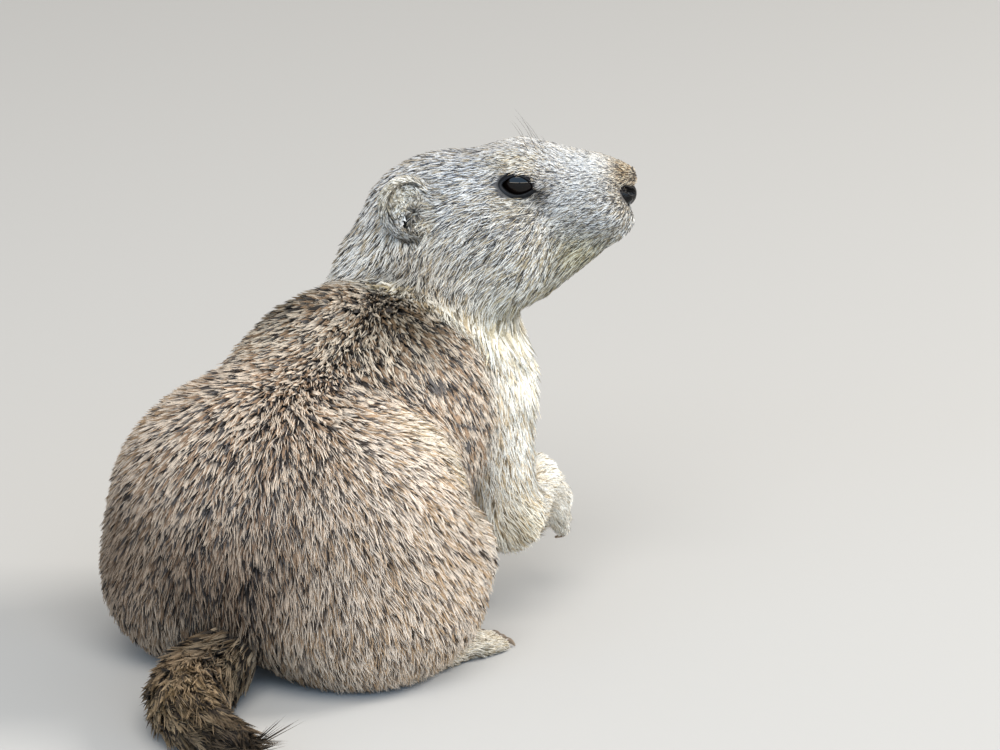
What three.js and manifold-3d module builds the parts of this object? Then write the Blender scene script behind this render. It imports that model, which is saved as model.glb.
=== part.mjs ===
// A young alpine marmot, life size, sitting on its haunches with its forepaws held low in front
// of its chest and its head turned to its right. Millimetres, +Z up. The chest faces -Y and the
// animal's left side is +X. The outer surface of every flesh piece is the outside of the coat.
//
// The flesh is one smooth field: round cones and ellipsoids laid over the bones and blended into
// each other. Each named piece is that field meshed at its own grain and cut from its neighbours
// with a thin gap. Paws, ears, eyes and nose are built from turned and rounded forms. The long
// hair of the tail and of the cheek's fringe stands in flat locks, the brow hairs as bristles.

import * as THREE from "three";
import { mergeVertices } from "three/addons/utils/BufferGeometryUtils.js";
import Module from "manifold-3d";

const wasm = await Module();
wasm.setup();

// Driving dimensions
const EYE_RADIUS = 6.2;
const EAR_RADIUS = 10.5;
const EAR_THICKNESS = 4.6; // half of it, at the root
const MUZZLE_RADIUS = 12.5;
const PELVIS_HEIGHT = 52;
const CHEST_HEIGHT = 87;
const CHEST_FORWARD = 79; // pelvis to chest, along the floor
const HAUNCH_SPREAD = 27; // mid-line to the middle of each haunch
const HIND_FOOT_LENGTH = 58;
const TAIL_RADIUS = 13; // out to the hair tips at its bushy middle
const TAIL_COAT = 4.5; // hair depth on the tail
const GAP = 0.3; // between neighbouring pieces

const v = (x, y, z) => new THREE.Vector3(x, y, z);
const { clamp, degToRad, lerp, seededRandom } = THREE.MathUtils;

// The head has its own frame: +X towards the nose, +Y the head's left, +Z its crown, with the
// origin midway between the eyes. It is turned right from the way that the chest faces.
const HEAD_TURN = degToRad(60);
const HEAD_LEAN = degToRad(9); // the crown leans to the head's left
const headPlace = v(-23.3, -106, 145);
const noseWay = v(-Math.sin(HEAD_TURN), -Math.cos(HEAD_TURN), 0);
const levelLeft = v(0, 0, 1).cross(noseWay);
const crownWay = v(0, 0, Math.cos(HEAD_LEAN)).addScaledVector(levelLeft, Math.sin(HEAD_LEAN));
const leftWay = crownWay.clone().cross(noseWay);
const headFrame = new THREE.Matrix4().makeBasis(noseWay, leftWay, crownWay).setPosition(headPlace);
const headToBody = (x, y, z) => v(x, y, z).applyMatrix4(headFrame);

// Distance fields. Each form is a function of a point, negative inside.
function roundCone(from, fromRadius, to, toRadius) {
  const along = to.clone().sub(from);
  const lengthSq = along.lengthSq();
  const step = v(0, 0, 0);
  return (point) => {
    step.subVectors(point, from);
    const share = clamp(step.dot(along) / lengthSq, 0, 1);
    return step.addScaledVector(along, -share).length() - lerp(fromRadius, toRadius, share);
  };
}

function ellipsoid(frame, radii) {
  const inverse = frame.clone().invert();
  const local = v(0, 0, 0);
  const scaled = v(0, 0, 0);
  return (point) => {
    local.copy(point).applyMatrix4(inverse).divide(radii);
    const near = local.length();
    scaled.copy(local).divide(radii);
    return near < 1e-6 ? -Math.min(radii.x, radii.y, radii.z) : (near * (near - 1)) / scaled.length();
  };
}

const at = (place) => new THREE.Matrix4().makeTranslation(place.x, place.y, place.z);
const inHead = (x, y, z) => headFrame.clone().multiply(at(v(x, y, z)));

// Blends the nearer of two distances into the other over the width given.
function smoothMin(a, b, width) {
  const overlap = Math.max(width - Math.abs(a - b), 0) / width;
  return Math.min(a, b) - (overlap * overlap * width) / 4;
}

const blended = (forms) => (point) =>
  forms.reduce((near, [form, width]) => smoothMin(near, form(point), width), 1e6);

// Torso and neck. Each form is listed with the width over which it blends into those before it.
const pelvis = v(0, 6, PELVIS_HEIGHT);
const loin = v(0, -38, 73);
const chest = v(0, -CHEST_FORWARD, CHEST_HEIGHT - 1);
const neckMiddle = v(0, -87, 115);
const skullBase = headToBody(-27, 0, -20);

const torsoForms = [
  [roundCone(pelvis, 51, loin, 42.5), 1],
  [roundCone(loin, 42.5, chest, 31.5), 14],
  [roundCone(chest, 31, neckMiddle, 27.5), 20],
  [roundCone(neckMiddle, 27.5, skullBase, 24), 14],
];

// A haunch with a fold between it and the flank, the loose skin under it, which spreads where it
// meets the floor, and the knee.
const haunchForms = (side) => [
  [ellipsoid(at(v(side * HAUNCH_SPREAD, 6, 47)), v(36, 41, 45)), 8],
  [ellipsoid(at(v(side * (HAUNCH_SPREAD + 3), 2, 25)), v(35, 43.5, 29)), 14],
  [roundCone(v(side * 38, -13, 36), 22, v(side * 42, -27, 36), 15.5), 9],
];

// Forelegs
const shoulder = (side) => v(side * 26, -75, 82);
const elbow = (side) => v(side * 41, -67, 37.5);
const wrist = (side) => v(side * 36.5, -94, 42.5);
const fringeBack = (side) => v(side * 41, -70, 34); // the longer hair that hangs under the forearm
const fringeFront = (side) => v(side * 38, -86, 32.5);
const forelegForms = (side) => [
  [roundCone(shoulder(side), 16, elbow(side), 10.5), 8],
  [roundCone(elbow(side), 10.5, wrist(side), 8.6), 5],
  [roundCone(fringeBack(side), 7.5, fringeFront(side), 7), 5],
];

// Head, in its own frame
const headForms = [
  [ellipsoid(inHead(-18, 0, -10.5), v(31, 25, 20.5)), 8],
  [roundCone(headToBody(2, 0, -2.8), 17, headToBody(23.5, 0, -3.3), MUZZLE_RADIUS), 8],
  [roundCone(headToBody(27, 0, -14.2), 9.8, headToBody(2, 0, -24.5), 17.5), 6],
  [ellipsoid(inHead(31, 0, -0.3), v(8, 5.5, 6)), 4], // the fur over the nose
  [ellipsoid(inHead(32.3, 0, -13.5), v(7, 6, 6)), 4], // the upper lip
];
const cheekForms = (side) => [
  [ellipsoid(inHead(-13, side * 15, -23), v(23, 15, 21)), 8],
  [ellipsoid(inHead(-2, side * 12, 0.5), v(15, 7.5, 10)), 8],
  [ellipsoid(inHead(26.5, side * 8, -11), v(10, 7.5, 7.2)), 5],
];

const sides = [1, -1];
const flesh = blended([
  ...torsoForms,
  ...sides.flatMap(haunchForms),
  ...sides.flatMap(forelegForms),
  ...headForms,
  ...sides.flatMap(cheekForms),
]);

// The tail lies on the floor, drawn round to the animal's right. Its field is the outside of the
// hair, and the core under its locks reaches half way out.
const TAIL_REST = TAIL_RADIUS - 3.2; // height of its middle where it lies
const tailLine = new THREE.CatmullRomCurve3([
  v(0, 36, 15),
  v(-1, 60, TAIL_REST),
  v(-8, 82, TAIL_REST),
  v(-24, 101, TAIL_REST),
  v(-46, 112, TAIL_REST - 2),
]);
const tailForms = [];
const TAIL_STEPS = 8;
for (let i = 0; i < TAIL_STEPS; i++) {
  const [here, next] = [i, i + 1].map((n) => n / TAIL_STEPS);
  const radius = (t) => TAIL_RADIUS * (0.8 + 0.2 * Math.sin(Math.PI * Math.min(t * 1.3, 1)) - 0.15 * t ** 4);
  tailForms.push([roundCone(tailLine.getPoint(here), radius(here), tailLine.getPoint(next), radius(next)), 3]);
}
const tailField = blended(tailForms);

// Meshes the zero surface of a field inside a box, one vertex to each crossed cell, with each
// vertex then drawn onto the surface. The field counts as outside on the box's own faces.
function meshField(field, low, high, cell) {
  const count = high.clone().sub(low).divideScalar(cell).ceil().addScalar(1);
  const [nx, ny, nz] = count.toArray();
  const index = (i, j, k) => i + nx * (j + ny * k);
  const place = (i, j, k) => v(i, j, k).multiplyScalar(cell).add(low);
  const values = new Float32Array(nx * ny * nz);
  for (let k = 0; k < nz; k++)
    for (let j = 0; j < ny; j++)
      for (let i = 0; i < nx; i++) {
        const edge = [i, j, k].includes(0) || i === nx - 1 || j === ny - 1 || k === nz - 1;
        values[index(i, j, k)] = edge ? cell : field(place(i, j, k)) || 1e-6;
      }
  closePinches(values, [nx, ny, nz]);

  const corners = [0, 1, 2, 3, 4, 5, 6, 7].map((c) => [c & 1, (c >> 1) & 1, c >> 2]);
  const edges = corners.flatMap((_, a) => [1, 2, 4].filter((bit) => !(a & bit)).map((bit) => [a, a | bit]));
  const vertexOf = new Map();
  const positions = [];
  for (let k = 0; k < nz - 1; k++)
    for (let j = 0; j < ny - 1; j++)
      for (let i = 0; i < nx - 1; i++) {
        const here = corners.map(([a, b, c]) => values[index(i + a, j + b, k + c)]);
        const crossed = edges.filter(([a, b]) => here[a] < 0 !== here[b] < 0);
        if (!crossed.length) continue;
        const middle = v(0, 0, 0);
        for (const [a, b] of crossed) {
          const share = here[a] / (here[a] - here[b]);
          const [from, to] = [a, b].map((n) => place(i + corners[n][0], j + corners[n][1], k + corners[n][2]));
          middle.addScaledVector(from.lerp(to, share), 1 / crossed.length);
        }
        const capped = [i, j, k].includes(0) || i === nx - 2 || j === ny - 2 || k === nz - 2;
        vertexOf.set(index(i, j, k), positions.length);
        positions.push(capped ? middle : settle(field, middle, cell));
      }

  const triangles = [];
  const strides = [[1, 0, 0], [0, 1, 0], [0, 0, 1]];
  for (let k = 0; k < nz - 1; k++)
    for (let j = 0; j < ny - 1; j++)
      for (let i = 0; i < nx - 1; i++)
        strides.forEach(([a, b, c], axis) => {
          const inside = values[index(i, j, k)] < 0;
          if (inside === values[index(i + a, j + b, k + c)] < 0) return;
          const [s, t] = [strides[(axis + 1) % 3], strides[(axis + 2) % 3]];
          const around = [[1, 1], [0, 1], [0, 0], [1, 0]].map(([m, n]) =>
            vertexOf.get(index(i - m * s[0] - n * t[0], j - m * s[1] - n * t[1], k - m * s[2] - n * t[2])),
          );
          if (!inside) around.reverse();
          const [p, q, r, u] = around;
          const short = positions[p].distanceTo(positions[r]) < positions[q].distanceTo(positions[u]);
          triangles.push(...(short ? [p, q, r, p, r, u] : [q, r, u, q, u, p]));
        });

  const geometry = new THREE.BufferGeometry().setFromPoints(positions);
  geometry.setIndex(triangles);
  return geometry;
}

// Where the meshed surface would touch itself along an edge, the grid point between is filled.
function closePinches(values, [nx, ny, nz]) {
  const strides = [1, nx, nx * ny];
  let open = true;
  while (open) {
    open = false;
    for (let n = 0; n < nx * ny * (nz - 1) - nx; n++)
      for (const [s, t] of [[0, 1], [1, 2], [2, 0]]) {
        const face = [n, n + strides[s], n + strides[s] + strides[t], n + strides[t]];
        const [a, b, c, d] = face.map((m) => values[m] < 0);
        if (a !== c || b !== d || a === b) continue;
        const [p, q] = a ? [face[1], face[3]] : [face[0], face[2]];
        values[values[p] < values[q] ? p : q] = -1e-3;
        open = true;
      }
  }
}

// Draws a point onto a field's zero surface along its slope, by at most one cell.
function settle(field, start, cell) {
  const point = start.clone();
  for (let round = 0; round < 3; round++) {
    const slope = slopeOf(field, point);
    point.addScaledVector(slope, -field(point) / Math.max(slope.lengthSq(), 0.2));
  }
  return start.clone().add(point.sub(start).clampLength(0, cell));
}

function slopeOf(field, point) {
  const probe = 0.05;
  const value = field(point);
  return v(
    field(v(point.x + probe, point.y, point.z)) - value,
    field(v(point.x, point.y + probe, point.z)) - value,
    field(v(point.x, point.y, point.z + probe)) - value,
  ).divideScalar(probe);
}

// Solids
function solidOf(geometry, tolerance = 1e-4) {
  const bare = geometry.clone();
  for (const name of Object.keys(bare.attributes)) if (name !== "position") bare.deleteAttribute(name);
  const merged = mergeVertices(bare, tolerance);
  const corners = Array.from(merged.index.array);
  const triangles = [];
  for (let i = 0; i < corners.length; i += 3) {
    const [a, b, c] = corners.slice(i, i + 3);
    if (a !== b && b !== c && c !== a) triangles.push(a, b, c);
  }
  const mesh = new wasm.Mesh({
    numProp: 3,
    vertProperties: merged.attributes.position.array,
    triVerts: new Uint32Array(triangles),
  });
  return new wasm.Manifold(mesh);
}

function geometryOf(solid) {
  const mesh = solid.getMesh();
  const geometry = new THREE.BufferGeometry();
  geometry.setAttribute("position", new THREE.BufferAttribute(new Float32Array(mesh.vertProperties), 3));
  geometry.setIndex(new THREE.BufferAttribute(new Uint32Array(mesh.triVerts), 1));
  geometry.computeVertexNormals();
  return geometry;
}

const joined = (solids) => solids.reduce((whole, next) => whole.add(next));
const cutFrom = (solid, cutters) => cutters.reduce((rest, cutter) => rest.subtract(cutter), solid);

function largest(solid) {
  return solid.decompose().reduce((best, next) => (next.volume() > best.volume() ? next : best));
}

// The main body of a cut piece, trimmed at the floor, with any two corners that all but touch made one.
const tidied = (solid) => largest(solidOf(geometryOf(largest(solid.subtract(underFloor))), 4e-3));

const placed = (geometry, frame) => solidOf(geometry.clone().applyMatrix4(frame));

function ball(place, radii, around = 16, up = 10) {
  return placed(new THREE.SphereGeometry(1, around, up), at(place).scale(radii));
}

// A frame whose +Y runs from one point towards another, as three.js turned forms stand.
function pointing(from, to) {
  const turn = new THREE.Quaternion().setFromUnitVectors(v(0, 1, 0), to.clone().sub(from).normalize());
  return new THREE.Matrix4().compose(from, turn, v(1, 1, 1));
}

// A closed round cone, turned as one profile with a round cap at each end.
function turnedCone(from, fromRadius, to, toRadius, around = 8, capSteps = 2) {
  const length = from.distanceTo(to);
  const profile = [];
  for (let i = 0; i <= capSteps; i++) {
    const angle = (i / capSteps - 1) * (Math.PI / 2);
    profile.push(new THREE.Vector2(fromRadius * Math.cos(angle), fromRadius * Math.sin(angle)));
  }
  for (let i = 0; i <= capSteps; i++) {
    const angle = (i / capSteps) * (Math.PI / 2);
    profile.push(new THREE.Vector2(toRadius * Math.cos(angle), length + toRadius * Math.sin(angle)));
  }
  profile[0].x = 0;
  profile[profile.length - 1].x = 0;
  return placed(new THREE.LatheGeometry(profile, around), pointing(from, to));
}

// A lock of hair or a bristle: a flat section that bends through three points and runs to a tip.
const LOCK_RINGS = [[0, 0.75], [0.35, 1], [0.72, 0.7]]; // share of the length, share of the width
function lock(path, outward, width, thickness) {
  const line = new THREE.QuadraticBezierCurve3(...path);
  const corners = LOCK_RINGS.flatMap(([share, size]) => {
    const across = line.getTangent(share).cross(outward).normalize();
    return [[1, 0], [0, 1], [-1, 0], [0, -1]].map(([out, side]) =>
      line
        .getPoint(share)
        .addScaledVector(outward, (out * size * thickness) / 2)
        .addScaledVector(across, (side * size * width) / 2),
    );
  });
  const triangles = [0, 3, 2, 0, 2, 1];
  const last = corners.length - 4;
  for (let i = 0; i < last; i += 4)
    for (let side = 0; side < 4; side++) {
      const [a, b] = [i + side, i + ((side + 1) % 4)];
      triangles.push(a, b, b + 4, a, b + 4, a + 4);
    }
  for (let side = 0; side < 4; side++) triangles.push(last + side, last + ((side + 1) % 4), last + 4);
  const geometry = new THREE.BufferGeometry().setFromPoints([...corners, line.getPoint(1)]);
  return solidOf(geometry.setIndex(triangles));
}

// A lock that lies along a surface: its root, bow and tip stand at the three heights over it.
function lyingLock(field, root, way, length, heights, width, thickness) {
  const outward = slopeOf(field, root).normalize();
  const lie = way.clone().addScaledVector(outward, -way.dot(outward)).normalize();
  const path = heights.map((height, i) => {
    const point = root.clone().addScaledVector(lie, (length * i) / 2);
    const slope = slopeOf(field, point);
    return point.addScaledVector(slope, (height - field(point)) / Math.max(slope.lengthSq(), 0.2));
  });
  return lock(path, outward, width, thickness);
}

// A block that fills one side of a plane, beyond the offset given along its normal.
const FAR = 400;
function sideOf(place, normal, offset) {
  const block = new THREE.BoxGeometry(FAR, FAR, FAR).translate(0, FAR / 2 + offset, 0);
  return placed(block, pointing(place, place.clone().add(normal)));
}
const underFloor = sideOf(v(0, 0, 0), v(0, 0, -1), 0);

// Cuts between the pieces
const neckTop = { place: headToBody(-54, 0, -8), normal: v(0.6, 0, 0.8).transformDirection(headFrame) };
const neckBase = { place: v(-4, -80, 101), normal: v(-0.25, -0.33, 0.91).normalize() };
const above = (cut) => sideOf(cut.place, cut.normal, -GAP / 2);
const below = (cut) => sideOf(cut.place, cut.normal.clone().negate(), -GAP / 2);

const wristCut = (side) => ({
  place: elbow(side).lerp(wrist(side), 0.93),
  normal: wrist(side).sub(elbow(side)).normalize(),
});

function forelegRegion(side, grow) {
  return joined([
    turnedCone(shoulder(side), 22 + grow, elbow(side), 14 + grow, 14, 3),
    turnedCone(elbow(side), 13 + grow, wrist(side), 13 + grow, 10, 2),
    turnedCone(fringeBack(side), 10.5 + grow, fringeFront(side), 10 + grow, 10, 2),
  ]);
}

function hindlegRegion(side, grow) {
  return joined([
    ball(v(side * 46, -4, 40), v(29 + grow, 41 + grow, 48 + grow), 18, 12),
    ball(v(side * 48, -26, 22), v(20 + grow, 24 + grow, 32 + grow), 12, 8),
  ]);
}

// Forepaw: a padded hand with four fingers, its palm turned in and down, and a short claw on each
function forepaw(side) {
  const along = v(side * 0.3, -0.72, -0.62).normalize();
  const across = v(side * 0.447, 0.683, -0.577).normalize(); // from the inner finger to the outer one
  const palmward = v(side * -0.845, 0.105, -0.53).normalize();
  const from = (place, ahead, sideways, down) =>
    place
      .clone()
      .addScaledVector(along, ahead)
      .addScaledVector(across, sideways)
      .addScaledVector(palmward, down);
  const hand = wrist(side);
  const parts = [
    turnedCone(from(hand, -2, 0, 0), 8.6, from(hand, 10, 1, 0.5), 7.2, 12, 3),
    turnedCone(from(hand, 2, 3, 4), 6.5, from(hand, 8, 5, 6), 6, 10, 2), // the heel of the palm
  ];
  for (let finger = 0; finger < 4; finger++) {
    const spread = (finger - 1.5) * 4;
    const reach = finger === 1 || finger === 2 ? 19.5 : 18;
    const root = from(hand, 9, spread * 0.85, 0);
    const tip = from(hand, reach, spread, 3.2);
    const claw = from(hand, reach + 0.5, spread, 9);
    parts.push(turnedCone(root, 4.1, tip, 3.6, 7), turnedCone(tip, 1.4, claw, 0.5, 4, 1));
  }
  return joined(parts);
}

// Hind foot: a flat sole from the heel to five toes, each with a claw
function hindfoot(side, grow = 0) {
  const outward = side * Math.sin(degToRad(8));
  const heel = v(side * 41, 6, 0);
  const ahead = (distance, across, height) =>
    v(heel.x + outward * distance + side * across, heel.y - distance, height);
  const parts = [
    turnedCone(ahead(0, 0, 6.5), 8 + grow, ahead(20, 0, 6.5), 8.5 + grow, 10, 3),
    turnedCone(ahead(20, -1.5, 6), 8 + grow, ahead(36, -2.5, 4.5), 6 + grow, 8, 2),
    turnedCone(ahead(20, 1.5, 6), 8 + grow, ahead(35, 2.5, 4.5), 6 + grow, 8, 2),
  ];
  for (let toe = 0; toe < 5; toe++) {
    const spread = (toe - 2) * 4;
    const reach = HIND_FOOT_LENGTH - 8 - Math.abs(toe - 1.7) * 2.4;
    const root = ahead(35, spread * 0.85, 3.6);
    const tip = ahead(reach, spread, 2.2);
    const claw = ahead(reach + 6, spread * 1.05, 1.2);
    parts.push(turnedCone(root, 3.7 + grow, tip, 2.7 + grow, 6));
    parts.push(turnedCone(tip, 1.5 + grow, claw, 0.5 + grow, 4, 1));
  }
  return joined(parts);
}

// Head, with eye sockets under lids, a groove for the mouth, and seats for the ears and nose
const EYE_SIDE = 15.4; // eye centre from the head's mid-line
const LID = 1.1;
const globe = (side, grow) =>
  ball(headToBody(0, side * EYE_SIDE, 0), v(1, 1, 1).multiplyScalar(EYE_RADIUS + grow), 14, 10);

// The opening between the lids, an almond that runs out to a low front corner
function lidOpening(side) {
  const almond = new THREE.Shape();
  almond.moveTo(-5.6, 0.3);
  almond.quadraticCurveTo(-1, 5.2, 5.8, -0.6);
  almond.quadraticCurveTo(0.5, -6.6, -5.6, 0.3);
  const prism = new THREE.ExtrudeGeometry(almond, { depth: 14, bevelEnabled: false, curveSegments: 8 });
  prism.rotateX(Math.PI / 2);
  prism.translate(0, side > 0 ? EYE_SIDE + 15.5 : -EYE_SIDE - 1.5, 0);
  return placed(prism, headFrame);
}

// The line of the mouth, laid on the muzzle's surface from the front round to its corner
function mouthGroove(side) {
  const points = [];
  for (let i = 0; i <= 8; i++) {
    const share = i / 8;
    const outward = v(45 - 24 * share, side * (share ** 0.7) * 22, -12.5 - 8.5 * share);
    const inner = v(20, 0, -14 - 4 * share);
    let far = 1;
    for (; far > 0 && flesh(headToBody(...inner.clone().lerp(outward, far).toArray())) > 0; far -= 0.01);
    points.push(headToBody(...inner.lerp(outward, far).toArray()));
  }
  const line = new THREE.CatmullRomCurve3(points);
  const section = new THREE.Shape().absarc(0, 0, 0.9, 0, 2 * Math.PI);
  return solidOf(
    new THREE.ExtrudeGeometry(section, { steps: 9, extrudePath: line, curveSegments: 3, bevelEnabled: false }),
  );
}

// Ears: short round cups that open forwards and outwards
const earPlace = (side) => v(-38, side * 24.5, -8);
const earFacing = (side) => v(0.42, side * 0.88, 0.12).normalize();

function earDisc(side, radius, thickness, slide) {
  const disc = new THREE.SphereGeometry(1, 14, 8).scale(radius, thickness, radius);
  const facing = earFacing(side);
  const centre = earPlace(side).addScaledVector(facing, slide);
  return placed(disc, headFrame.clone().multiply(pointing(centre, centre.clone().add(facing))));
}

const ear = (side) =>
  earDisc(side, EAR_RADIUS, EAR_THICKNESS, 0).subtract(earDisc(side, EAR_RADIUS * 0.72, 4.2, 3.2));

const NOSE = v(35.6, 0, -4.6);
const noseSeat = (grow) => placed(
  new THREE.SphereGeometry(1, 14, 10).scale(5 + grow, 6.4 + grow, 5.4 + grow),
  headFrame.clone().multiply(at(NOSE)),
);

function nostril(side) {
  const hollow = new THREE.SphereGeometry(1, 8, 6).scale(2.6, 1.2, 1.9);
  return placed(hollow, headFrame.clone().multiply(at(v(NOSE.x + 3, side * 4, NOSE.z - 0.8))));
}

// The first place on the coat that is met from a side of the head, at the head's own height and length
function coatFrom(side, ahead, up) {
  let left = 45;
  while (flesh(headToBody(ahead, side * left, up)) > 0) left -= 0.1;
  return headToBody(ahead, side * left, up);
}

const varied = (size, share) => size * (1 + share * (2 * seededRandom() - 1));
seededRandom(3);

// Brow hairs: bristles that rise from over each eye and bow back. Each is listed by its place
// ahead of the eye and above it, and by its length.
const BROW_HAIRS = [[6, 9.5, 20], [8.5, 9, 16], [3, 10, 13]];
const BRISTLE = 0.7; // thick at the root
const browHairs = (side) => BROW_HAIRS.map(([ahead, up, length]) => {
  const start = coatFrom(side, ahead, up);
  const inHeadWay = (x, y, z) => v(x, side * y, z).applyMatrix4(headFrame).sub(headPlace);
  const path = [
    start.clone().sub(inHeadWay(-0.3, 1.6, 1.4)),
    start.clone().add(inHeadWay(-0.27, 0.33, 0.9).multiplyScalar(length / 2)),
    start.clone().add(inHeadWay(-0.4, 0.33, 0.76).multiplyScalar(length)),
  ];
  return lock(path, noseWay, BRISTLE, BRISTLE);
});

// The cheek's fringe: a row of locks behind and under the cheek, hanging back over the neck
const FRINGE_LOCKS = 4;
const FRINGE_WIDTH = 10;
function fringe(side) {
  const hang = v(-0.5, side * 0.1, -0.85).transformDirection(headFrame);
  const locks = [];
  for (let i = 0; i < FRINGE_LOCKS; i++) {
    const share = i / (FRINGE_LOCKS - 1);
    const root = coatFrom(side, -43 + 30 * share, -28 - 12 * share);
    const length = varied(11 + 2 * share, 0.12);
    locks.push(lyingLock(flesh, root, hang, length, [-3, 2, 1.8], FRINGE_WIDTH, 2));
  }
  return locks;
}

// The tail's long hair: rows of locks round the core, all along it from where it leaves the rump
const TAIL_ROWS = 5;
const TAIL_LOCKS = 4; // round the top and sides of each row
const TAIL_LOCK_LENGTH = 21;
function tailLocks() {
  const locks = [];
  for (let row = 0; row < TAIL_ROWS; row++) {
    const share = 0.36 + (0.6 * row) / (TAIL_ROWS - 1);
    const [centre, way] = [tailLine.getPoint(share), tailLine.getTangent(share)];
    const aside = way.clone().cross(v(0, 0, 1)).normalize();
    for (let i = 0; i < TAIL_LOCKS; i++) {
      const turn = degToRad((i - (TAIL_LOCKS - 1) / 2 + (row % 2 ? 0.25 : -0.25)) * 56);
      const outward = v(0, 0, Math.cos(turn)).addScaledVector(aside, Math.sin(turn));
      const root = centre.clone().addScaledVector(outward, TAIL_RADIUS * 0.8);
      const length = varied(TAIL_LOCK_LENGTH, 0.12);
      locks.push(lyingLock(tailField, root, way, length, [-TAIL_COAT, -0.4, 0.4], 10.5, 2));
    }
  }
  return locks;
}

const fleshIn = (low, high, cell) => solidOf(meshField(flesh, low, high, cell));

const lids = sides.map((side) => globe(side, LID));
const sockets = sides.map((side) => globe(side, GAP));
const headWhole = fleshIn(v(-95, -190, 88), v(62, -45, 180), 4.5);
const head = cutFrom(joined([headWhole, ...lids, ...sides.flatMap(browHairs)]), [
  ...sockets,
  ...sides.map(lidOpening),
  ...sides.map(mouthGroove),
  ...sides.map((side) => earDisc(side, EAR_RADIUS + GAP, EAR_THICKNESS + GAP, 0)),
  noseSeat(GAP),
  below(neckTop),
]);

const neckWhole = fleshIn(v(-60, -150, 70), v(60, -40, 160), 8);
const neck = cutFrom(joined([neckWhole, ...sides.flatMap(fringe)]), [above(neckTop), below(neckBase)]);

const forelegFlesh = (side) =>
  fleshIn(v(side * 38 - 34, -135, 8), v(side * 38 + 34, -40, 116), 5.5)
    .intersect(forelegRegion(side, 0))
    .subtract(above(neckBase))
    .subtract(above(wristCut(side)));

const hindlegFlesh = (side) =>
  fleshIn(v(side * 38 - 56, -75, -12), v(side * 38 + 56, 65, 106), 9.5)
    .intersect(hindlegRegion(side, 0))
    .subtract(hindfoot(side, GAP))
    .subtract(forelegRegion(side, GAP));

const tailRoot = { place: tailLine.getPoint(0.04), normal: tailLine.getTangent(0.04) };
function tailSolid(grow) {
  const grown = (point) => tailField(point) + TAIL_COAT / 2 - grow;
  const meshed = solidOf(meshField(grown, v(-74, 20, -6), v(20, 138, 38), 6.5));
  return meshed.subtract(sideOf(tailRoot.place, tailRoot.normal.clone().negate(), grow));
}

const torso = cutFrom(fleshIn(v(-85, -130, -12), v(85, 75, 140), 10), [
  above(neckBase),
  ...sides.map((side) => forelegRegion(side, GAP)),
  ...sides.map((side) => hindlegRegion(side, GAP)),
  ...sides.map((side) => hindfoot(side, GAP)),
  tailSolid(GAP),
]);

// Coat and skin colours
const colours = { grey: 0x8c8579, brown: 0x8a7862, pale: 0xcdbfa4, dark: 0x3a332c, black: 0x0b0a0a };
const finish = (color, roughness) => new THREE.MeshStandardMaterial({ color, roughness, metalness: 0 });
const coatGrey = finish(colours.grey, 0.95);
const coatBrown = finish(colours.brown, 0.95);
const coatPale = finish(colours.pale, 0.95);
const coatDark = finish(colours.dark, 0.9);
const noseSkin = finish(colours.black, 0.45);
const wetEye = finish(colours.black, 0.05);

const marmot = new THREE.Group();
function addPiece(name, solid, material) {
  const mesh = new THREE.Mesh(geometryOf(tidied(solid)), material);
  mesh.name = name;
  marmot.add(mesh);
}

addPiece("head", head, coatGrey);
addPiece("nose", cutFrom(noseSeat(0), sides.map(nostril)), noseSkin);
addPiece("neck", neck, coatGrey);
addPiece("torso", torso, coatBrown);
addPiece("tail", joined([tailSolid(0), ...tailLocks()]), coatDark);
for (const [name, side] of [["left", 1], ["right", -1]]) {
  addPiece("eye_" + name, globe(side, 0), wetEye);
  addPiece("ear_" + name, ear(side), coatGrey);
  addPiece("foreleg_" + name, forelegFlesh(side), coatPale);
  addPiece("forepaw_" + name, forepaw(side).subtract(below(wristCut(side))), coatPale);
  addPiece("hindleg_" + name, hindlegFlesh(side), coatBrown);
  addPiece("hindfoot_" + name, hindfoot(side), coatPale);
}

// The origin is the middle of the bounding box, on the floor.
const bounds = new THREE.Box3().setFromObject(marmot, true);
const middle = bounds.getCenter(v(0, 0, 0));
marmot.position.set(-middle.x, -middle.y, -bounds.min.z);
const root = new THREE.Group();
root.add(marmot);

export default root;
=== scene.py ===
import math

import bpy
import numpy as np
from mathutils import Matrix, Vector
from mathutils.kdtree import KDTree


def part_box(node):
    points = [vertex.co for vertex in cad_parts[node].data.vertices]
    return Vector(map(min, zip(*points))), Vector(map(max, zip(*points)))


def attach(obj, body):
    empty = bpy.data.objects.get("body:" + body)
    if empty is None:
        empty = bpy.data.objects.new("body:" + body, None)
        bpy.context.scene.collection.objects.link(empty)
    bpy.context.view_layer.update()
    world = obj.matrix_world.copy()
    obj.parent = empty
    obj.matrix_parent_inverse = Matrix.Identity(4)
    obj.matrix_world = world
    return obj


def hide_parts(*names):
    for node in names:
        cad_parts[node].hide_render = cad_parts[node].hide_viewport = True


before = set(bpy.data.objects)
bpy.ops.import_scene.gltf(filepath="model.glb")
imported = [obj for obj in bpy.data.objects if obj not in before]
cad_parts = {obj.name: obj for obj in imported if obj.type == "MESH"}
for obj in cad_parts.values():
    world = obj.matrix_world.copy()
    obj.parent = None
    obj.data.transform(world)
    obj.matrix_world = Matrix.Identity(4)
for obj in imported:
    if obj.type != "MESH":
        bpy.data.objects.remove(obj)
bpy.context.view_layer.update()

# Skin: the whole hide of the body, head, legs, ears, paws and tail in one piece with no seam.
# It is flesh modelled over the bones as round forms that run into each other. It lies inside the
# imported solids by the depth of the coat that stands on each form. Sizes are in millimetres.

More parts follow.
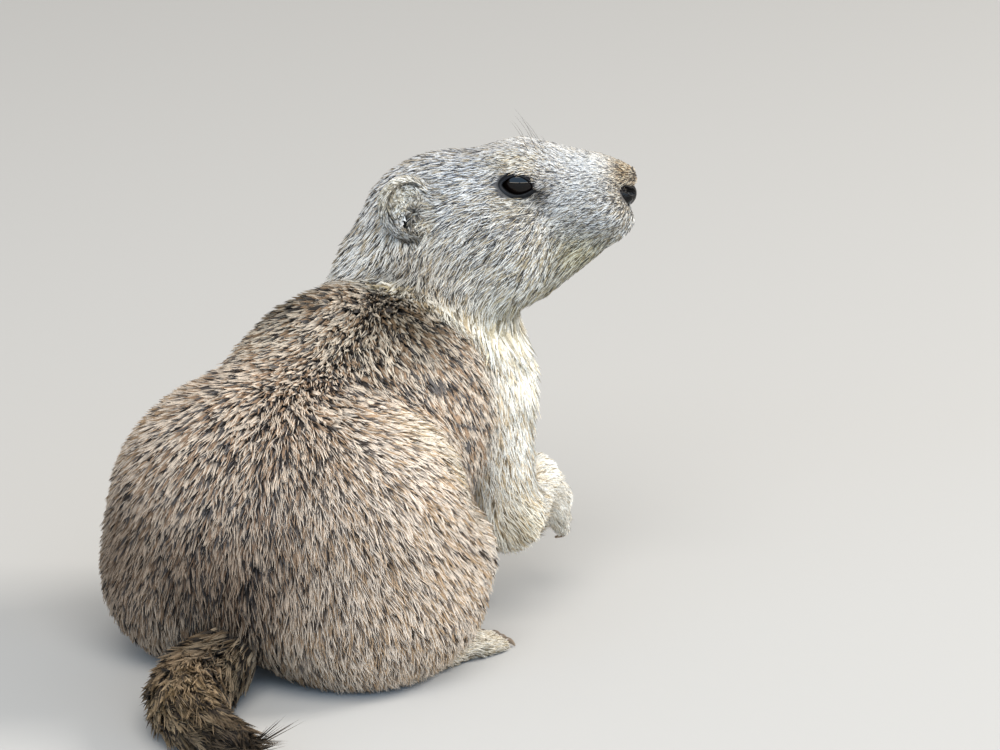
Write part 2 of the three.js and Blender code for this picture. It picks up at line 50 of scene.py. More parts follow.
HEAD_AT = np.array([-23.3, -106.0, 145.0])  # midway between the eyes
HEAD_TURN = math.radians(60)  # the nose points to the animal's right
HEAD_LEAN = math.radians(9)  # and the crown leans to the head's left
nose_way = np.array([-math.sin(HEAD_TURN), -math.cos(HEAD_TURN), 0.0])
level_left = np.cross([0.0, 0.0, 1.0], nose_way)
crown_way = np.array([0.0, 0.0, math.cos(HEAD_LEAN)]) + level_left * math.sin(HEAD_LEAN)
HEAD_AXES = np.array([nose_way, np.cross(crown_way, nose_way), crown_way])
LEVEL_AXES = np.eye(3)
SIDES = {"left": 1, "right": -1}


def in_head(ahead, left, up):
    return HEAD_AT + np.array([ahead, left, up], float) @ HEAD_AXES


def round_cone(start, start_radius, end, end_radius):
    start, end = np.array(start, float), np.array(end, float)
    run = end - start

    def distance(x, y, z):
        x, y, z = x - start[0], y - start[1], z - start[2]
        share = np.clip((x * run[0] + y * run[1] + z * run[2]) / (run @ run), 0, 1)
        away = (x - share * run[0]) ** 2 + (y - share * run[1]) ** 2 + (z - share * run[2]) ** 2
        return np.sqrt(away) - (start_radius + (end_radius - start_radius) * share)

    radius = max(start_radius, end_radius)
    return distance, np.minimum(start, end) - radius, np.maximum(start, end) + radius, run


def egg(centre, radii, axes=LEVEL_AXES):
    centre, radii = np.array(centre, float), np.array(radii, float)

    def distance(x, y, z):
        x, y, z = x - centre[0], y - centre[1], z - centre[2]
        a, b, c = [(x * way[0] + y * way[1] + z * way[2]) / r for way, r in zip(axes, radii)]
        near = np.sqrt(a * a + b * b + c * c) + 1e-6
        slope = np.sqrt((a / radii[0]) ** 2 + (b / radii[1]) ** 2 + (c / radii[2]) ** 2) + 1e-9
        return near * (near - 1) / slope

    return distance, centre - radii.max(), centre + radii.max(), None


def smooth_min(a, b, width):
    overlap = np.maximum(width - np.abs(a - b), 0) / width
    return np.minimum(a, b) - overlap * overlap * width / 4


# Each form: the name its coat goes by, its shape, the width it blends over, the depth of its coat.
# A shape is its distance function, the two corners of its box and, for a cone, the way it runs.
PELVIS, LOIN, CHEST, NECK = (0, 6, 52), (0, -38, 73), (0, -79, 86), (0, -87, 115)
SKULL_BASE = in_head(-27, 0, -20)
forms = [
    ("rump", round_cone(PELVIS, 51, LOIN, 42.5), 1, 3.6),
    ("back", round_cone(LOIN, 42.5, CHEST, 31.5), 14, 3.6),
    ("shoulders", round_cone(CHEST, 31, NECK, 27.5), 20, 3.4),
    ("neck", round_cone(NECK, 27.5, SKULL_BASE, 24), 14, 3.2),
]
for side in SIDES.values():
    forms += [
        ("haunch", egg((side * 27, 6, 47), (36, 41, 45)), 8, 3.2),
        ("haunch", egg((side * 30, 2, 25), (35, 43.5, 29)), 14, 3.2),
        ("knee", round_cone((side * 38, -13, 36), 22, (side * 42, -27, 36), 15.5), 9, 3.0),
    ]


def shoulder(side):
    return np.array([side * 26.0, -75.0, 82.0])


def elbow(side):
    return np.array([side * 41.0, -67.0, 37.5])


def wrist(side):
    return np.array([side * 36.5, -94.0, 42.5])


for side in SIDES.values():
    forms += [
        ("upper_arm", round_cone(shoulder(side), 16, elbow(side), 10.5), 8, 2.4),
        ("forearm", round_cone(elbow(side), 10.5, wrist(side), 8.6), 5, 1.8),
        ("forearm_fringe", round_cone((side * 41, -70, 34), 7.5, (side * 38, -86, 32.5), 7), 5, 2.6),
    ]
forms += [
    ("skull", egg(in_head(-18, 0, -10.5), (31, 25, 20.5), HEAD_AXES), 8, 1.3),
    ("muzzle", round_cone(in_head(2, 0, -2.8), 17, in_head(23.5, 0, -3.3), 12.5), 8, 0.8),
    ("jaw", round_cone(in_head(27, 0, -14.2), 9.8, in_head(2, 0, -24.5), 17.5), 6, 1.2),
    ("nose_fur", egg(in_head(32, 0, 0.2), (8.4, 5.8, 5.6), HEAD_AXES), 4, 0.6),
    ("whisker_pad", egg(in_head(32.3, 0, -13.5), (7, 6, 6), HEAD_AXES), 4, 0.8),
]
for side in SIDES.values():
    forms += [
        ("cheek", egg(in_head(-13, side * 15, -23), (23, 15, 21), HEAD_AXES), 8, 1.8),
        ("brow", egg(in_head(-2, side * 12, 0.5), (15, 7.5, 10), HEAD_AXES), 8, 1.0),
        ("whisker_pad", egg(in_head(26.5, side * 8, -11), (10, 7.5, 7.2), HEAD_AXES), 5, 0.8),
        ("whisker_pad", egg(in_head(31.5, side * 4.5, -7.8), (5.2, 3.8, 4.6), HEAD_AXES), 3, 0.7),
    ]

# Eyelids swell over the eyeballs.
EYE_RADIUS = 6.2
EYE_OUT = 15.4  # eye centre from the head's mid-line
LID = 0.9


def ball_at_eye(side, radius):
    return egg(in_head(0, side * EYE_OUT, 0), [radius] * 3)


for side in SIDES.values():
    forms.append(("lid", ball_at_eye(side, EYE_RADIUS + LID), 2.5, 0))

# Ears: short round cups that open forwards and outwards.
EAR_AT = -38, 24.5, -8  # ahead, out and up in the head
EAR_RADIUS = 10.5
EAR_THICKNESS = 4.6


def ear_axes(side):
    facing = np.array([0.42, side * 0.88, 0.12])
    facing /= np.linalg.norm(facing)
    ahead = np.cross(facing, [0, 0, 1.0])
    ahead /= np.linalg.norm(ahead)
    return np.array([ahead, facing, np.cross(ahead, facing)]) @ HEAD_AXES


def ear_at(side, ahead=0.0, out=0.0, up=0.0):
    middle = in_head(EAR_AT[0], side * EAR_AT[1], EAR_AT[2])
    return middle + np.array([ahead * -side, out, up * -side]) @ ear_axes(side)


for side in SIDES.values():
    lobe = egg(ear_at(side), (EAR_RADIUS, EAR_THICKNESS, EAR_RADIUS), ear_axes(side))
    forms.append(("ear", lobe, 2.5, 0.5))

# Tail: bushy, laid on the floor and drawn round to the animal's right.
TAIL_RADIUS = 13
TAIL_POINTS = [(0, 36, 15), (-1, 60, 9.8), (-8, 82, 9.8), (-24, 101, 9.8), (-46, 112, 7.8)]


def smooth_curve(points, shares):
    """A centripetal spline through the points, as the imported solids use, at shares of its run."""
    points = np.array(points, float)
    points = np.vstack([2 * points[0] - points[1], points, 2 * points[-1] - points[-2]])
    found = []
    for share in shares:
        place = share * (len(points) - 3)
        first = min(int(place), len(points) - 4)
        corners = points[first : first + 4]
        knots = np.concatenate([[0], np.cumsum(np.linalg.norm(np.diff(corners, axis=0), axis=1) ** 0.5)])
        t = knots[1] + (place - first) * (knots[2] - knots[1])
        for level in (1, 2, 3):
            low, high = knots[:-level, None], knots[level:, None]
            corners = ((high - t) * corners[:-1] + (t - low) * corners[1:]) / (high - low)
        found.append(corners[0])
    return np.array(found)


TAIL_STEPS = 8
tail_shares = np.arange(TAIL_STEPS + 1) / TAIL_STEPS
tail_line = smooth_curve(TAIL_POINTS, tail_shares)
tail_swell = 0.2 * np.sin(np.pi * np.minimum(tail_shares * 1.3, 1))
tail_radii = TAIL_RADIUS * (0.8 + tail_swell - 0.15 * tail_shares**4)
TAIL_COAT = 4.5
for i in range(TAIL_STEPS):
    name = "tail" if i < TAIL_STEPS - 2 else "tail_tip"
    stretch = round_cone(tail_line[i], tail_radii[i], tail_line[i + 1], tail_radii[i + 1])
    forms.append((name, stretch, 3, TAIL_COAT))


# Forepaws: a padded hand with four fingers, the palm turned in and down.
def hand_place(side, ahead, across, down):
    ways = np.array([(0.3, -0.72, -0.62), (0.447, 0.683, -0.577), (-0.845, 0.105, -0.53)])
    ways *= (side, 1, 1)
    ways /= np.linalg.norm(ways, axis=1, keepdims=True)
    return wrist(side) + np.array([ahead, across, down]) @ ways


# Each finger's way across the hand and its reach; the middle two are longer.
FINGERS = [((finger - 1.5) * 4.8, 19.5 if finger in (1, 2) else 18) for finger in range(4)]
for side in SIDES.values():
    forms += [
        ("hand", round_cone(hand_place(side, -2, 0, 0), 8.6, hand_place(side, 10, 1, 0.5), 7.2), 3, 0.9),
        ("hand", round_cone(hand_place(side, 2, 3, 4), 6.5, hand_place(side, 8, 5, 6), 6), 2, 0.9),
    ]
    for spread, reach in FINGERS:
        ends = hand_place(side, 9, spread * 0.7, 0), hand_place(side, reach, spread, 3.2)
        forms.append(("finger", round_cone(ends[0], 4.2, ends[1], 2.9), 0.6, 0.5))

# Hind feet: a flat sole from the heel to five toes, turned a little outwards.
FOOT_TURN = math.sin(math.radians(8))


def foot_place(side, ahead, across, up):
    return np.array([side * (41 + FOOT_TURN * ahead + across), 6.0 - ahead, up])


TOES = [((toe - 2) * 4, 50 - abs(toe - 1.7) * 2.4) for toe in range(5)]
for side in SIDES.values():
    forms += [
        ("foot", round_cone(foot_place(side, 0, 0, 6.5), 8, foot_place(side, 20, 0, 6.5), 8.5), 3, 0.9),
        ("foot", round_cone(foot_place(side, 20, -1.5, 6), 8, foot_place(side, 36, -2.5, 4.5), 6), 2, 0.9),
        ("foot", round_cone(foot_place(side, 20, 1.5, 6), 8, foot_place(side, 35, 2.5, 4.5), 6), 2, 0.9),
    ]
    for spread, reach in TOES:
        ends = foot_place(side, 35, spread * 0.85, 3.6), foot_place(side, reach, spread, 2.2)
        forms.append(("toe", round_cone(ends[0], 3.7, ends[1], 2.7), 0.8, 0.5))

# Hollows cut in the flesh: sockets under the lids, ear cups with a canal, the line of the mouth.
ALMOND = [(-6.2, -0.7), (-0.6, 5.85), (5.3, -1.9), (-1.7, -7.0)]  # corner, upper bow, corner, lower bow
UPPER_ARC = (-0.8, -4.2, 6.7)  # the two bows as arcs: ahead, up, radius
LOWER_ARC = (0.0, 3.0, 7.4)
SOCKET_GAP = 0.15  # between an eyeball and the hide behind it
MOUTH_GAP = 0.7  # half the width of the line of the mouth
CUP_RADIUS = EAR_RADIUS * 0.78


def past_lids(ahead, up):
    """How far a place on the head's side lies outside the opening of the eye."""
    return np.maximum(*[np.hypot(ahead - a, up - u) - r for a, u, r in (UPPER_ARC, LOWER_ARC)])


def lid_opening(side):
    def distance(x, y, z):
        x, y, z = x - HEAD_AT[0], y - HEAD_AT[1], z - HEAD_AT[2]
        ahead, left, up = [x * way[0] + y * way[1] + z * way[2] for way in HEAD_AXES]
        return np.maximum(past_lids(ahead, up), EYE_OUT - 1 - side * left)

    centre = in_head(0, side * EYE_OUT, 0)
    return distance, centre - 9, centre + 9, None


def ear_canal(side):
    return egg(ear_at(side, 2.4, -1.5, -3.2), (1.3, 5, 4.2), ear_axes(side))


hollows = []
for side in SIDES.values():
    hollows += [
        ball_at_eye(side, EYE_RADIUS + SOCKET_GAP),
        lid_opening(side),
        egg(ear_at(side, 0, 3.2, 0), (CUP_RADIUS, 4.4, CUP_RADIUS), ear_axes(side)),
        ear_canal(side),
    ]


def measured(x, y, z, shapes, cuts=()):
    """The signed distance to a skin, negative inside, at the places given."""
    near = np.full(np.broadcast(x, y, z).shape, 1e3)
    for _, (distance, *_), width, depth in shapes:
        near = smooth_min(near, distance(x, y, z) + depth, width)
    for distance, *_ in cuts:
        near = np.maximum(near, -distance(x, y, z))
    return near


def mouth_line(side, steps=12):
    """The line of the mouth on the flesh, met on straight walks in to the middle of the muzzle."""
    found = []
    for share in np.linspace(0, 1, steps):
        outer = np.array([45 - 24 * share, side * share**0.7 * 22, -16.5 - 5.5 * share])
        inner = np.array([20, 0, -16 - 3 * share])
        walk = np.array([in_head(*(inner + (outer - inner) * far)) for far in np.linspace(1, 0, 400)])
        inside = measured(*walk.T, forms) < 0
        found.append(walk[np.argmax(inside)])
    return np.array(found)


mouth = {side: mouth_line(side) for side in SIDES.values()}
for line in mouth.values():
    for i in range(len(line) - 1):
        hollows.append(round_cone(line[i], MOUTH_GAP, line[i + 1], MOUTH_GAP - 0.25 * (i + 1) / len(line)))

SKIN_CLEAR = 0.5  # the hide's underside over the floor
FINE, COARSE = 0.8, 1.5  # mesh grain on the head and elsewhere


def grid_line(low, fine_low, fine_high, high):
    spans = (low, fine_low, COARSE), (fine_low, fine_high, FINE), (fine_high, high, COARSE)
    return np.concatenate([np.arange(*span) for span in spans])


grid = [grid_line(-72, -68, 32, 74), grid_line(-138, -136, -62, 124), grid_line(-1.9, 98, 161, 163)]


def field_on_grid(shapes, cuts, lines, clear=None):
    values = np.full([len(line) for line in lines], 1e3, np.float32)

    def part_of(low, high, reach):
        ends = [np.searchsorted(line, (a - reach, b + reach)) for line, a, b in zip(lines, low, high)]
        spans = [slice(*pair) for pair in ends]
        x, y, z = [line[span].astype(np.float32) for line, span in zip(lines, spans)]
        return tuple(spans), x[:, None, None], y[None, :, None], z[None, None, :]

    for _, (distance, low, high, _), width, depth in shapes:
        spans, x, y, z = part_of(low, high, width + 5)
        values[spans] = smooth_min(values[spans], (distance(x, y, z) + depth).astype(np.float32), width)
    for distance, low, high, _ in cuts:
        spans, x, y, z = part_of(low, high, 3)
        values[spans] = np.maximum(values[spans], -distance(x, y, z))
    if clear is not None:
        values = np.maximum(values, clear - lines[2][None, None, :].astype(np.float32))
    return values


def net(values, lines):
    """A closed mesh of quads over the zero surface of a field on a grid: one corner to each crossed cell."""
    inside = values < 0
    shape = [n - 1 for n in inside.shape]
    count = np.zeros(shape, np.int8)  # corners of each cell that lie inside
    for a, b, c in np.ndindex(2, 2, 2):
        count += inside[a : a + shape[0], b : b + shape[1], c : c + shape[2]]
    cells = np.argwhere((count > 0) & (count < 8))
    total, weight = np.zeros((len(cells), 3)), np.zeros(len(cells))
    steps = np.eye(3, dtype=int)
    for axis in range(3):
        s, t = steps[(axis + 1) % 3], steps[(axis + 2) % 3]
        for m, n in np.ndindex(2, 2):
            a = cells + m * s + n * t
            b = a + steps[axis]
            va, vb = values[tuple(a.T)].astype(float), values[tuple(b.T)].astype(float)
            crossed = (va < 0) != (vb < 0)
            share = np.where(crossed, va / np.where(crossed, va - vb, 1), 0)
            pa = np.stack([lines[d][a[:, d]] for d in range(3)], 1)
            pb = np.stack([lines[d][b[:, d]] for d in range(3)], 1)
            total += crossed[:, None] * (pa + share[:, None] * (pb - pa))
            weight += crossed
    places = total / weight[:, None]
    number = np.full(shape, -1, np.int32)
    number[tuple(cells.T)] = np.arange(len(cells))
    quads = []
    for axis in range(3):
        s, t = steps[(axis + 1) % 3], steps[(axis + 2) % 3]
        here = inside[tuple(slice(0, n - (1 if d == axis else 0)) for d, n in enumerate(inside.shape))]
        there = inside[tuple(slice(1 if d == axis else 0, None) for d in range(3))]
        edges = np.argwhere(here != there)
        edges = edges[(edges[:, (axis + 1) % 3] > 0) & (edges[:, (axis + 2) % 3] > 0)]
        ring = [number[tuple((edges - m * s - n * t).T)] for m, n in ((1, 1), (0, 1), (0, 0), (1, 0))]
        ring = np.stack(ring, 1)
        out = ~here[tuple(edges.T)]
        ring[out] = ring[out][:, ::-1]
        quads.append(ring)
    return places, np.concatenate(quads)


def slope_of(places, field, step=0.15):
    here = field(*places.T)
    slope = np.stack([field(*(places + step * way).T) - here for way in LEVEL_AXES], 1) / step
    return here, slope


def settled(places, field, rounds, most):
    """Places moved on to the zero surface of a field, by short steps down its slope."""
    for _ in range(rounds):
        here, slope = slope_of(places, field)
        move = here[:, None] * slope / np.maximum((slope**2).sum(1, keepdims=True), 0.25)
        size = np.linalg.norm(move, axis=1, keepdims=True)
        places = places - move * np.minimum(1, most / np.maximum(size, 1e-9))
    return places


def hide(x, y, z):
    return np.maximum(measured(x, y, z, forms, hollows), SKIN_CLEAR - z)


def flesh(x, y, z):
    return measured(x, y, z, forms)


skin_places, skin_quads = net(field_on_grid(forms, hollows, grid, SKIN_CLEAR), grid)
skin_places = settled(skin_places, hide, 2, 0.6)

# The mesh's own place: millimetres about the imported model's eye, turned to metres in its frame.
eye_low, eye_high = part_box("eye_right")
OFFSET = np.array((eye_low + eye_high) / 2) * 1000 - in_head(0, -EYE_OUT, 0)


def new_piece(name, places, faces, smooth=True):
    mesh = bpy.data.meshes.new(name)
    faces = np.asarray(faces, np.int32)
    mesh.vertices.add(len(places))
    mesh.vertices.foreach_set("co", ((places + OFFSET) * 0.001).astype(np.float32).ravel())
    mesh.loops.add(faces.size)
    mesh.loops.foreach_set("vertex_index", faces.ravel())
    mesh.polygons.add(len(faces))
    mesh.polygons.foreach_set("loop_start", np.arange(len(faces), dtype=np.int32) * faces.shape[1])
    mesh.update(calc_edges=True)
    mesh.polygons.foreach_set("use_smooth", np.full(len(faces), smooth))
    piece = bpy.data.objects.new(name, mesh)
    bpy.context.collection.objects.link(piece)
    return piece


def linear(code):
    """An sRGB hex colour as the linear colour that Blender mixes."""
    parts = np.array([int(code[i : i + 2], 16) for i in (0, 2, 4)]) / 255
    return np.where(parts <= 0.04045, parts / 12.92, ((parts + 0.055) / 1.055) ** 2.4)


skin = new_piece("skin", skin_places, skin_quads)

# Nose: the bare pad at the end of the muzzle, with a wing round each nostril and a groove down its
# middle. It is moist, pebbled skin, almost black, and grows out of the short fur of the muzzle.

NOSE_GRAIN = 0.3  # mesh grain
nose_forms = [("pad", egg(in_head(35.0, 0, -5.2), (5.0, 5.5, 4.7), HEAD_AXES), 1, 0)]
nose_cuts = [round_cone(in_head(40.9, 0, -4.0), 0.35, in_head(38.0, 0, -10.2), 0.6)]
for side in SIDES.values():
    nose_forms.append(("wing", egg(in_head(35.4, side * 4.6, -5.2), (3.7, 2.7, 3.3), HEAD_AXES), 1.2, 0))
    nose_cuts.append(egg(in_head(38.6, side * 3.9, -5.0), (3.2, 1.7, 2.0), HEAD_AXES))
    nose_cuts.append(round_cone(in_head(38.0, side * 5.6, -4.2), 1.3, in_head(34.2, side * 7.0, -2.6), 0.8))
nose_middle = in_head(35.4, 0, -4.7)
nose_grid = [np.arange(middle - 8, middle + 8, NOSE_GRAIN) for middle in nose_middle]
nose_places, nose_quads = net(field_on_grid(nose_forms, nose_cuts, nose_grid), nose_grid)
nose_places = settled(nose_places, lambda x, y, z: measured(x, y, z, nose_forms, nose_cuts), 2, 0.15)
nose = new_piece("nose_pad", nose_places, nose_quads)


def set_sockets(node, **sockets):
    """Give a node's sockets, by name or as n0, n1 and on by number, a value or another node's output."""
    for key, value in sockets.items():
        socket = node.inputs[int(key[1:]) if key[1:].isdigit() else key.replace("_", " ")]
        if isinstance(value, bpy.types.NodeSocket):
            node.id_data.links.new(value, socket)
        else:
            socket.default_value = value


def new_finish(name, **sockets):
    finish = bpy.data.materials.new(name)
    finish.use_nodes = True
    shader = finish.node_tree.nodes["Principled BSDF"]
    set_sockets(shader, **sockets)
    return finish, shader


def add_node(finish, kind, settings=(), **sockets):
    """One more node in a finish, with its settings, and its sockets given values or linked."""
    node = finish.node_tree.nodes.new(kind)
    for key, value in dict(settings).items():
        setattr(node, key, value)
    set_sockets(node, **sockets)
    return node


def colour_of(code):
    return (*linear(code), 1)


# Nose leather: black pigment under a thin film of moisture, pebbles about 0.5 mm across.
nose_finish, shader = new_finish("moist nose leather", Roughness=0.3, IOR=1.4, Specular_IOR_Level=0.22)
where = add_node(nose_finish, "ShaderNodeTexCoord")
pebbles = add_node(nose_finish, "ShaderNodeTexVoronoi", Vector=where.outputs["Object"], Scale=1900.0)
speckle = add_node(nose_finish, "ShaderNodeTexNoise", Vector=where.outputs["Object"], Scale=700.0, Detail=3.0)
ramp = add_node(nose_finish, "ShaderNodeValToRGB", Fac=speckle.outputs["Fac"])
ramp.color_ramp.elements[0].position, ramp.color_ramp.elements[0].color = 0.35, colour_of("070606")
ramp.color_ramp.elements[1].position, ramp.color_ramp.elements[1].color = 0.75, colour_of("1b1817")
bump = add_node(nose_finish, "ShaderNodeBump", Strength=0.35, Distance=0.0003)
set_sockets(bump, Height=pebbles.outputs["Distance"])
set_sockets(shader, Base_Color=ramp.outputs["Color"], Normal=bump.outputs["Normal"])
nose.data.materials.append(nose_finish)
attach(nose, "root")
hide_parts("nose")

# Eyeballs: wet, glass-like globes set deep in the head, a dark brown iris round a black pupil. They
# are a little flatter in front than balls and fill their sockets behind the lids.

AROUND, UP = 64, 40  # mesh rings
PUPIL_EDGE, IRIS_EDGE = 0.38, 0.95  # radians from the middle of the pupil
GLOBE = 7.0  # the radius across: broader than deep, so the front is flat enough to mirror the room


def round_quads(rings, around):
    """Faces between rings of places, each ring joined to the next."""
    i, j = np.meshgrid(np.arange(rings), np.arange(around), indexing="ij")
    a, b = i * around + j, i * around + (j + 1) % around
    return np.stack([a, b, b + around, a + around], 2).reshape(-1, 4)


def paint(piece, colours):
    """The marking of a piece: a linear colour at each of its places."""
    colours = np.concatenate([colours, np.ones((len(colours), 1))], 1).astype(np.float32)
    layer = piece.data.attributes.new("marking", "FLOAT_COLOR", "POINT")
    layer.data.foreach_set("color", colours.ravel())


# Wet eye: black glass that mirrors the light screens, its iris a shade browner than the pupil.
eye_finish, shader = new_finish("wet eye", Roughness=0.03, IOR=1.42, Specular_IOR_Level=0.32)
marking = add_node(eye_finish, "ShaderNodeAttribute", {"attribute_name": "marking"})
where = add_node(eye_finish, "ShaderNodeTexCoord")
fibres = add_node(eye_finish, "ShaderNodeTexNoise", Vector=where.outputs["Object"], Scale=900.0, Detail=2.0)
mixed = add_node(eye_finish, "ShaderNodeMixRGB", {"blend_type": "MULTIPLY"}, Fac=0.5)
set_sockets(mixed, Color1=marking.outputs["Color"], Color2=fibres.outputs["Color"])
set_sockets(shader, Base_Color=mixed.outputs["Color"])

for name, side in SIDES.items():
    lean = np.pi * np.arange(UP + 1) / UP  # from the middle of the pupil to the back of the eye
    turn = 2 * np.pi * np.arange(AROUND) / AROUND
    rings = np.stack([
        GLOBE * np.sin(lean)[:, None] * np.cos(turn),
        side * (EYE_RADIUS * np.cos(lean))[:, None] + 0 * turn,
        GLOBE * np.sin(lean)[:, None] * np.sin(turn),
    ], 2).reshape(-1, 3)
    quads = round_quads(UP, AROUND)
    if side > 0:
        quads = quads[:, ::-1]
    eyeball = new_piece("eyeball_" + name, in_head(0, side * EYE_OUT, 0) + rings @ HEAD_AXES, quads)
    from_pupil = np.repeat(lean, AROUND)[:, None]
    iris = (from_pupil > PUPIL_EDGE) & (from_pupil < IRIS_EDGE)
    paint(eyeball, np.where(iris, linear("090504"), linear("030202")))
    eyeball.data.materials.append(eye_finish)
    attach(eyeball, "root")
    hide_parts("eye_" + name)

# Lid rims: bare, dark, moist skin round each eye, rolled in to touch the eyeball, thickest on the
# upper lid and drawn out to a low tear corner in front. Each is one closed ring on the skin.

# The rim's section in mm: way out from the edge of the opening, and rise over the fur's skin. The
# first point lies inside the surface of the eyeball.
RIM = [
    (-0.3, None), (-0.1, 0.0), (0.15, 0.16), (0.5, 0.2), (0.95, 0.14), (1.4, 0.0), (1.8, -0.5), (0.8, -1.3),
]


def bow(start, pull, end, count=30):
    share = np.linspace(0, 1, count, endpoint=False)[:, None]
    start, pull, end = np.array(start), np.array(pull), np.array(end)
    return start * (1 - share) ** 2 + 2 * pull * share * (1 - share) + end * share**2


def skin_left_of(side, ahead, up):
    """How far from the head's mid-line its skin lies, at places across its side."""
    inner, outer = np.full(len(ahead), 4.0), np.full(len(ahead), 40.0)
    for _ in range(26):
        middle = (inner + outer) / 2
        places = HEAD_AT + np.stack([ahead, side * middle, up], 1) @ HEAD_AXES
        inside = flesh(*places.T) < 0
        inner, outer = np.where(inside, middle, inner), np.where(inside, outer, middle)
    return inner


# Lid skin: black and creased, only dimly shiny beside the bright eye.
lid_finish, shader = new_finish("moist lid skin", Roughness=0.4, IOR=1.4, Specular_IOR_Level=0.2)
where = add_node(lid_finish, "ShaderNodeTexCoord")
creases = add_node(lid_finish, "ShaderNodeTexNoise", Vector=where.outputs["Object"], Scale=1300.0, Detail=3.0)
ramp = add_node(lid_finish, "ShaderNodeValToRGB", Fac=creases.outputs["Fac"])
ramp.color_ramp.elements[0].color = colour_of("060606")
ramp.color_ramp.elements[1].color = colour_of("14161a")
bump = add_node(lid_finish, "ShaderNodeBump", Height=creases.outputs["Fac"], Strength=0.3, Distance=0.0002)
set_sockets(shader, Base_Color=ramp.outputs["Color"], Normal=bump.outputs["Normal"])

for name, side in SIDES.items():
    back, top, front, bottom = ALMOND
    outline = np.concatenate([bow(back, top, front), bow(front, bottom, back)])
    for _ in range(2):  # the corners are rounded a little
        outline = (outline * 2 + np.roll(outline, 1, 0) + np.roll(outline, -1, 0)) / 4
    run = np.roll(outline, -1, 0) - np.roll(outline, 1, 0)
    out = np.stack([-run[:, 1], run[:, 0]], 1)
    out /= np.linalg.norm(out, axis=1, keepdims=True)
    wide = 1.0 + 0.15 * np.clip(out[:, 1], 0, 1) + 0.35 * np.clip(out[:, 0], 0, 1) ** 2
    rings = []
    for away, rise in RIM:
        flat = outline + out * (away * wide if away > 0 else away * np.ones(len(out)))[:, None]
        if rise is None:
            left = EYE_OUT + EYE_RADIUS * np.sqrt(np.maximum(1 - (flat**2).sum(1) / GLOBE**2, 0.03)) - 0.5
        else:
            left = skin_left_of(side, flat[:, 0], flat[:, 1]) + rise
        rings.append(np.stack([flat[:, 0], side * left, flat[:, 1]], 1))
    rings = np.array(rings)
    quads = round_quads(len(RIM), len(outline)) % (len(RIM) * len(outline))  # the last ring meets the first
    if side < 0:
        quads = quads[:, ::-1]
    rim = new_piece("lid_rim_" + name, HEAD_AT + rings.reshape(-1, 3) @ HEAD_AXES, quads)
    rounding = rim.modifiers.new("rounding", "SUBSURF")
    rounding.levels = rounding.render_levels = 1
    rim.data.materials.append(lid_finish)
    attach(rim, "root")

# Lips: a thin dark roll of bare skin above and below the line of the mouth, from its middle under
# the nose round to its corner. The fur of the upper lip hangs over it.

LIP_ROLL, LIP_SUNK = 0.42, 0.3
LIP_LIFTS = 0.55, -0.6  # the upper and the lower lip from the line of the mouth
LIP_STEPS = 30
lip_finish = lid_finish.copy()  # black and dimly shiny, as the lids
lip_finish.name = "lip skin"


def toward(ways):
    return ways / np.maximum(np.linalg.norm(ways, axis=1, keepdims=True), 1e-9)


def stacked(parts):
    """Places and faces of several meshes as those of one."""
    starts = np.cumsum([0] + [len(places) for places, _ in parts])
    faces = [faces + start for (_, faces), start in zip(parts, starts)]
    return np.vstack([places for places, _ in parts]), np.vstack(faces)


def tube(path, radii, sides_round):
    """A closed tube along a path, narrowing by its radii, as places and triangles."""
    path, radii = np.asarray(path, float), np.asarray(radii, float)
    run = toward(np.gradient(path, axis=0))
    first = toward(np.cross(run, np.where(np.abs(run[:, 2:]) > 0.8, [[1.0, 0, 0]], [[0, 0, 1.0]])))
    second = np.cross(run, first)
    turn = 2 * np.pi * np.arange(sides_round) / sides_round
    ring = first[:, None] * np.cos(turn)[None, :, None] + second[:, None] * np.sin(turn)[None, :, None]
    places = (path[:, None] + ring * radii[:, None, None]).reshape(-1, 3)
    faces = [round_quads(len(path) - 1, sides_round)[:, [0, 1, 2, 0, 2, 3]].reshape(-1, 3)]
    places = np.vstack([places, path[0], path[-1]])
    last = (len(path) - 1) * sides_round
    for j in range(sides_round):
        k = (j + 1) % sides_round
        faces.append([(k, j, len(places) - 2), (last + j, last + k, len(places) - 1)])
    return places, np.vstack(faces)


share = np.linspace(0, 1, LIP_STEPS)
rolls = []
for side in SIDES.values():
    for lift in LIP_LIFTS:
        line = smooth_curve(mouth[side], share) + crown_way * lift
        here, slope = slope_of(line, flesh)
        line = line - toward(slope) * (here + LIP_SUNK)[:, None]
        rolls.append(tube(line, LIP_ROLL * (1 - 0.5 * share**2), 8))
lips = new_piece("lips", *stacked(rolls))
lips.data.materials.append(lip_finish)
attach(lips, "root")

# Claws: four to a forepaw and five to a hind foot, narrow curved horn, dark at the root and paler
# towards a blunt digging point. Each grows out of the end of its digit.

CLAW_ROOT, CLAW_TIP = 1.35, 0.35
CLAW_STEPS, CLAW_SIDES = 12, 10
FLOOR_GAP = 0.15
share = np.linspace(0, 1, CLAW_STEPS)
claws = []
for side in SIDES.values():
    paths = []
    for spread, reach in FINGERS:
        bends = [(-1, 1.4), (2.6, 3), (4.0, 5.8), (3.2, 8.4)]  # on from the finger's end, and down
        paths.append([hand_place(side, reach + on, spread, down) for on, down in bends])
    for spread, reach in TOES:
        bends = [(-1.5, 1, 2.6), (2.4, 1.02, 3.4), (5.0, 1.05, 2.2), (6.6, 1.06, 0.6)]
        paths.append([foot_place(side, reach + on, spread * wider, up) for on, wider, up in bends])
    for path in paths:
        radii = CLAW_ROOT + (CLAW_TIP - CLAW_ROOT) * share**1.3
        places, faces = tube(smooth_curve(path, share), radii, CLAW_SIDES)
        places[:, 2] = np.maximum(places[:, 2], FLOOR_GAP)
        claws.append((places, faces))
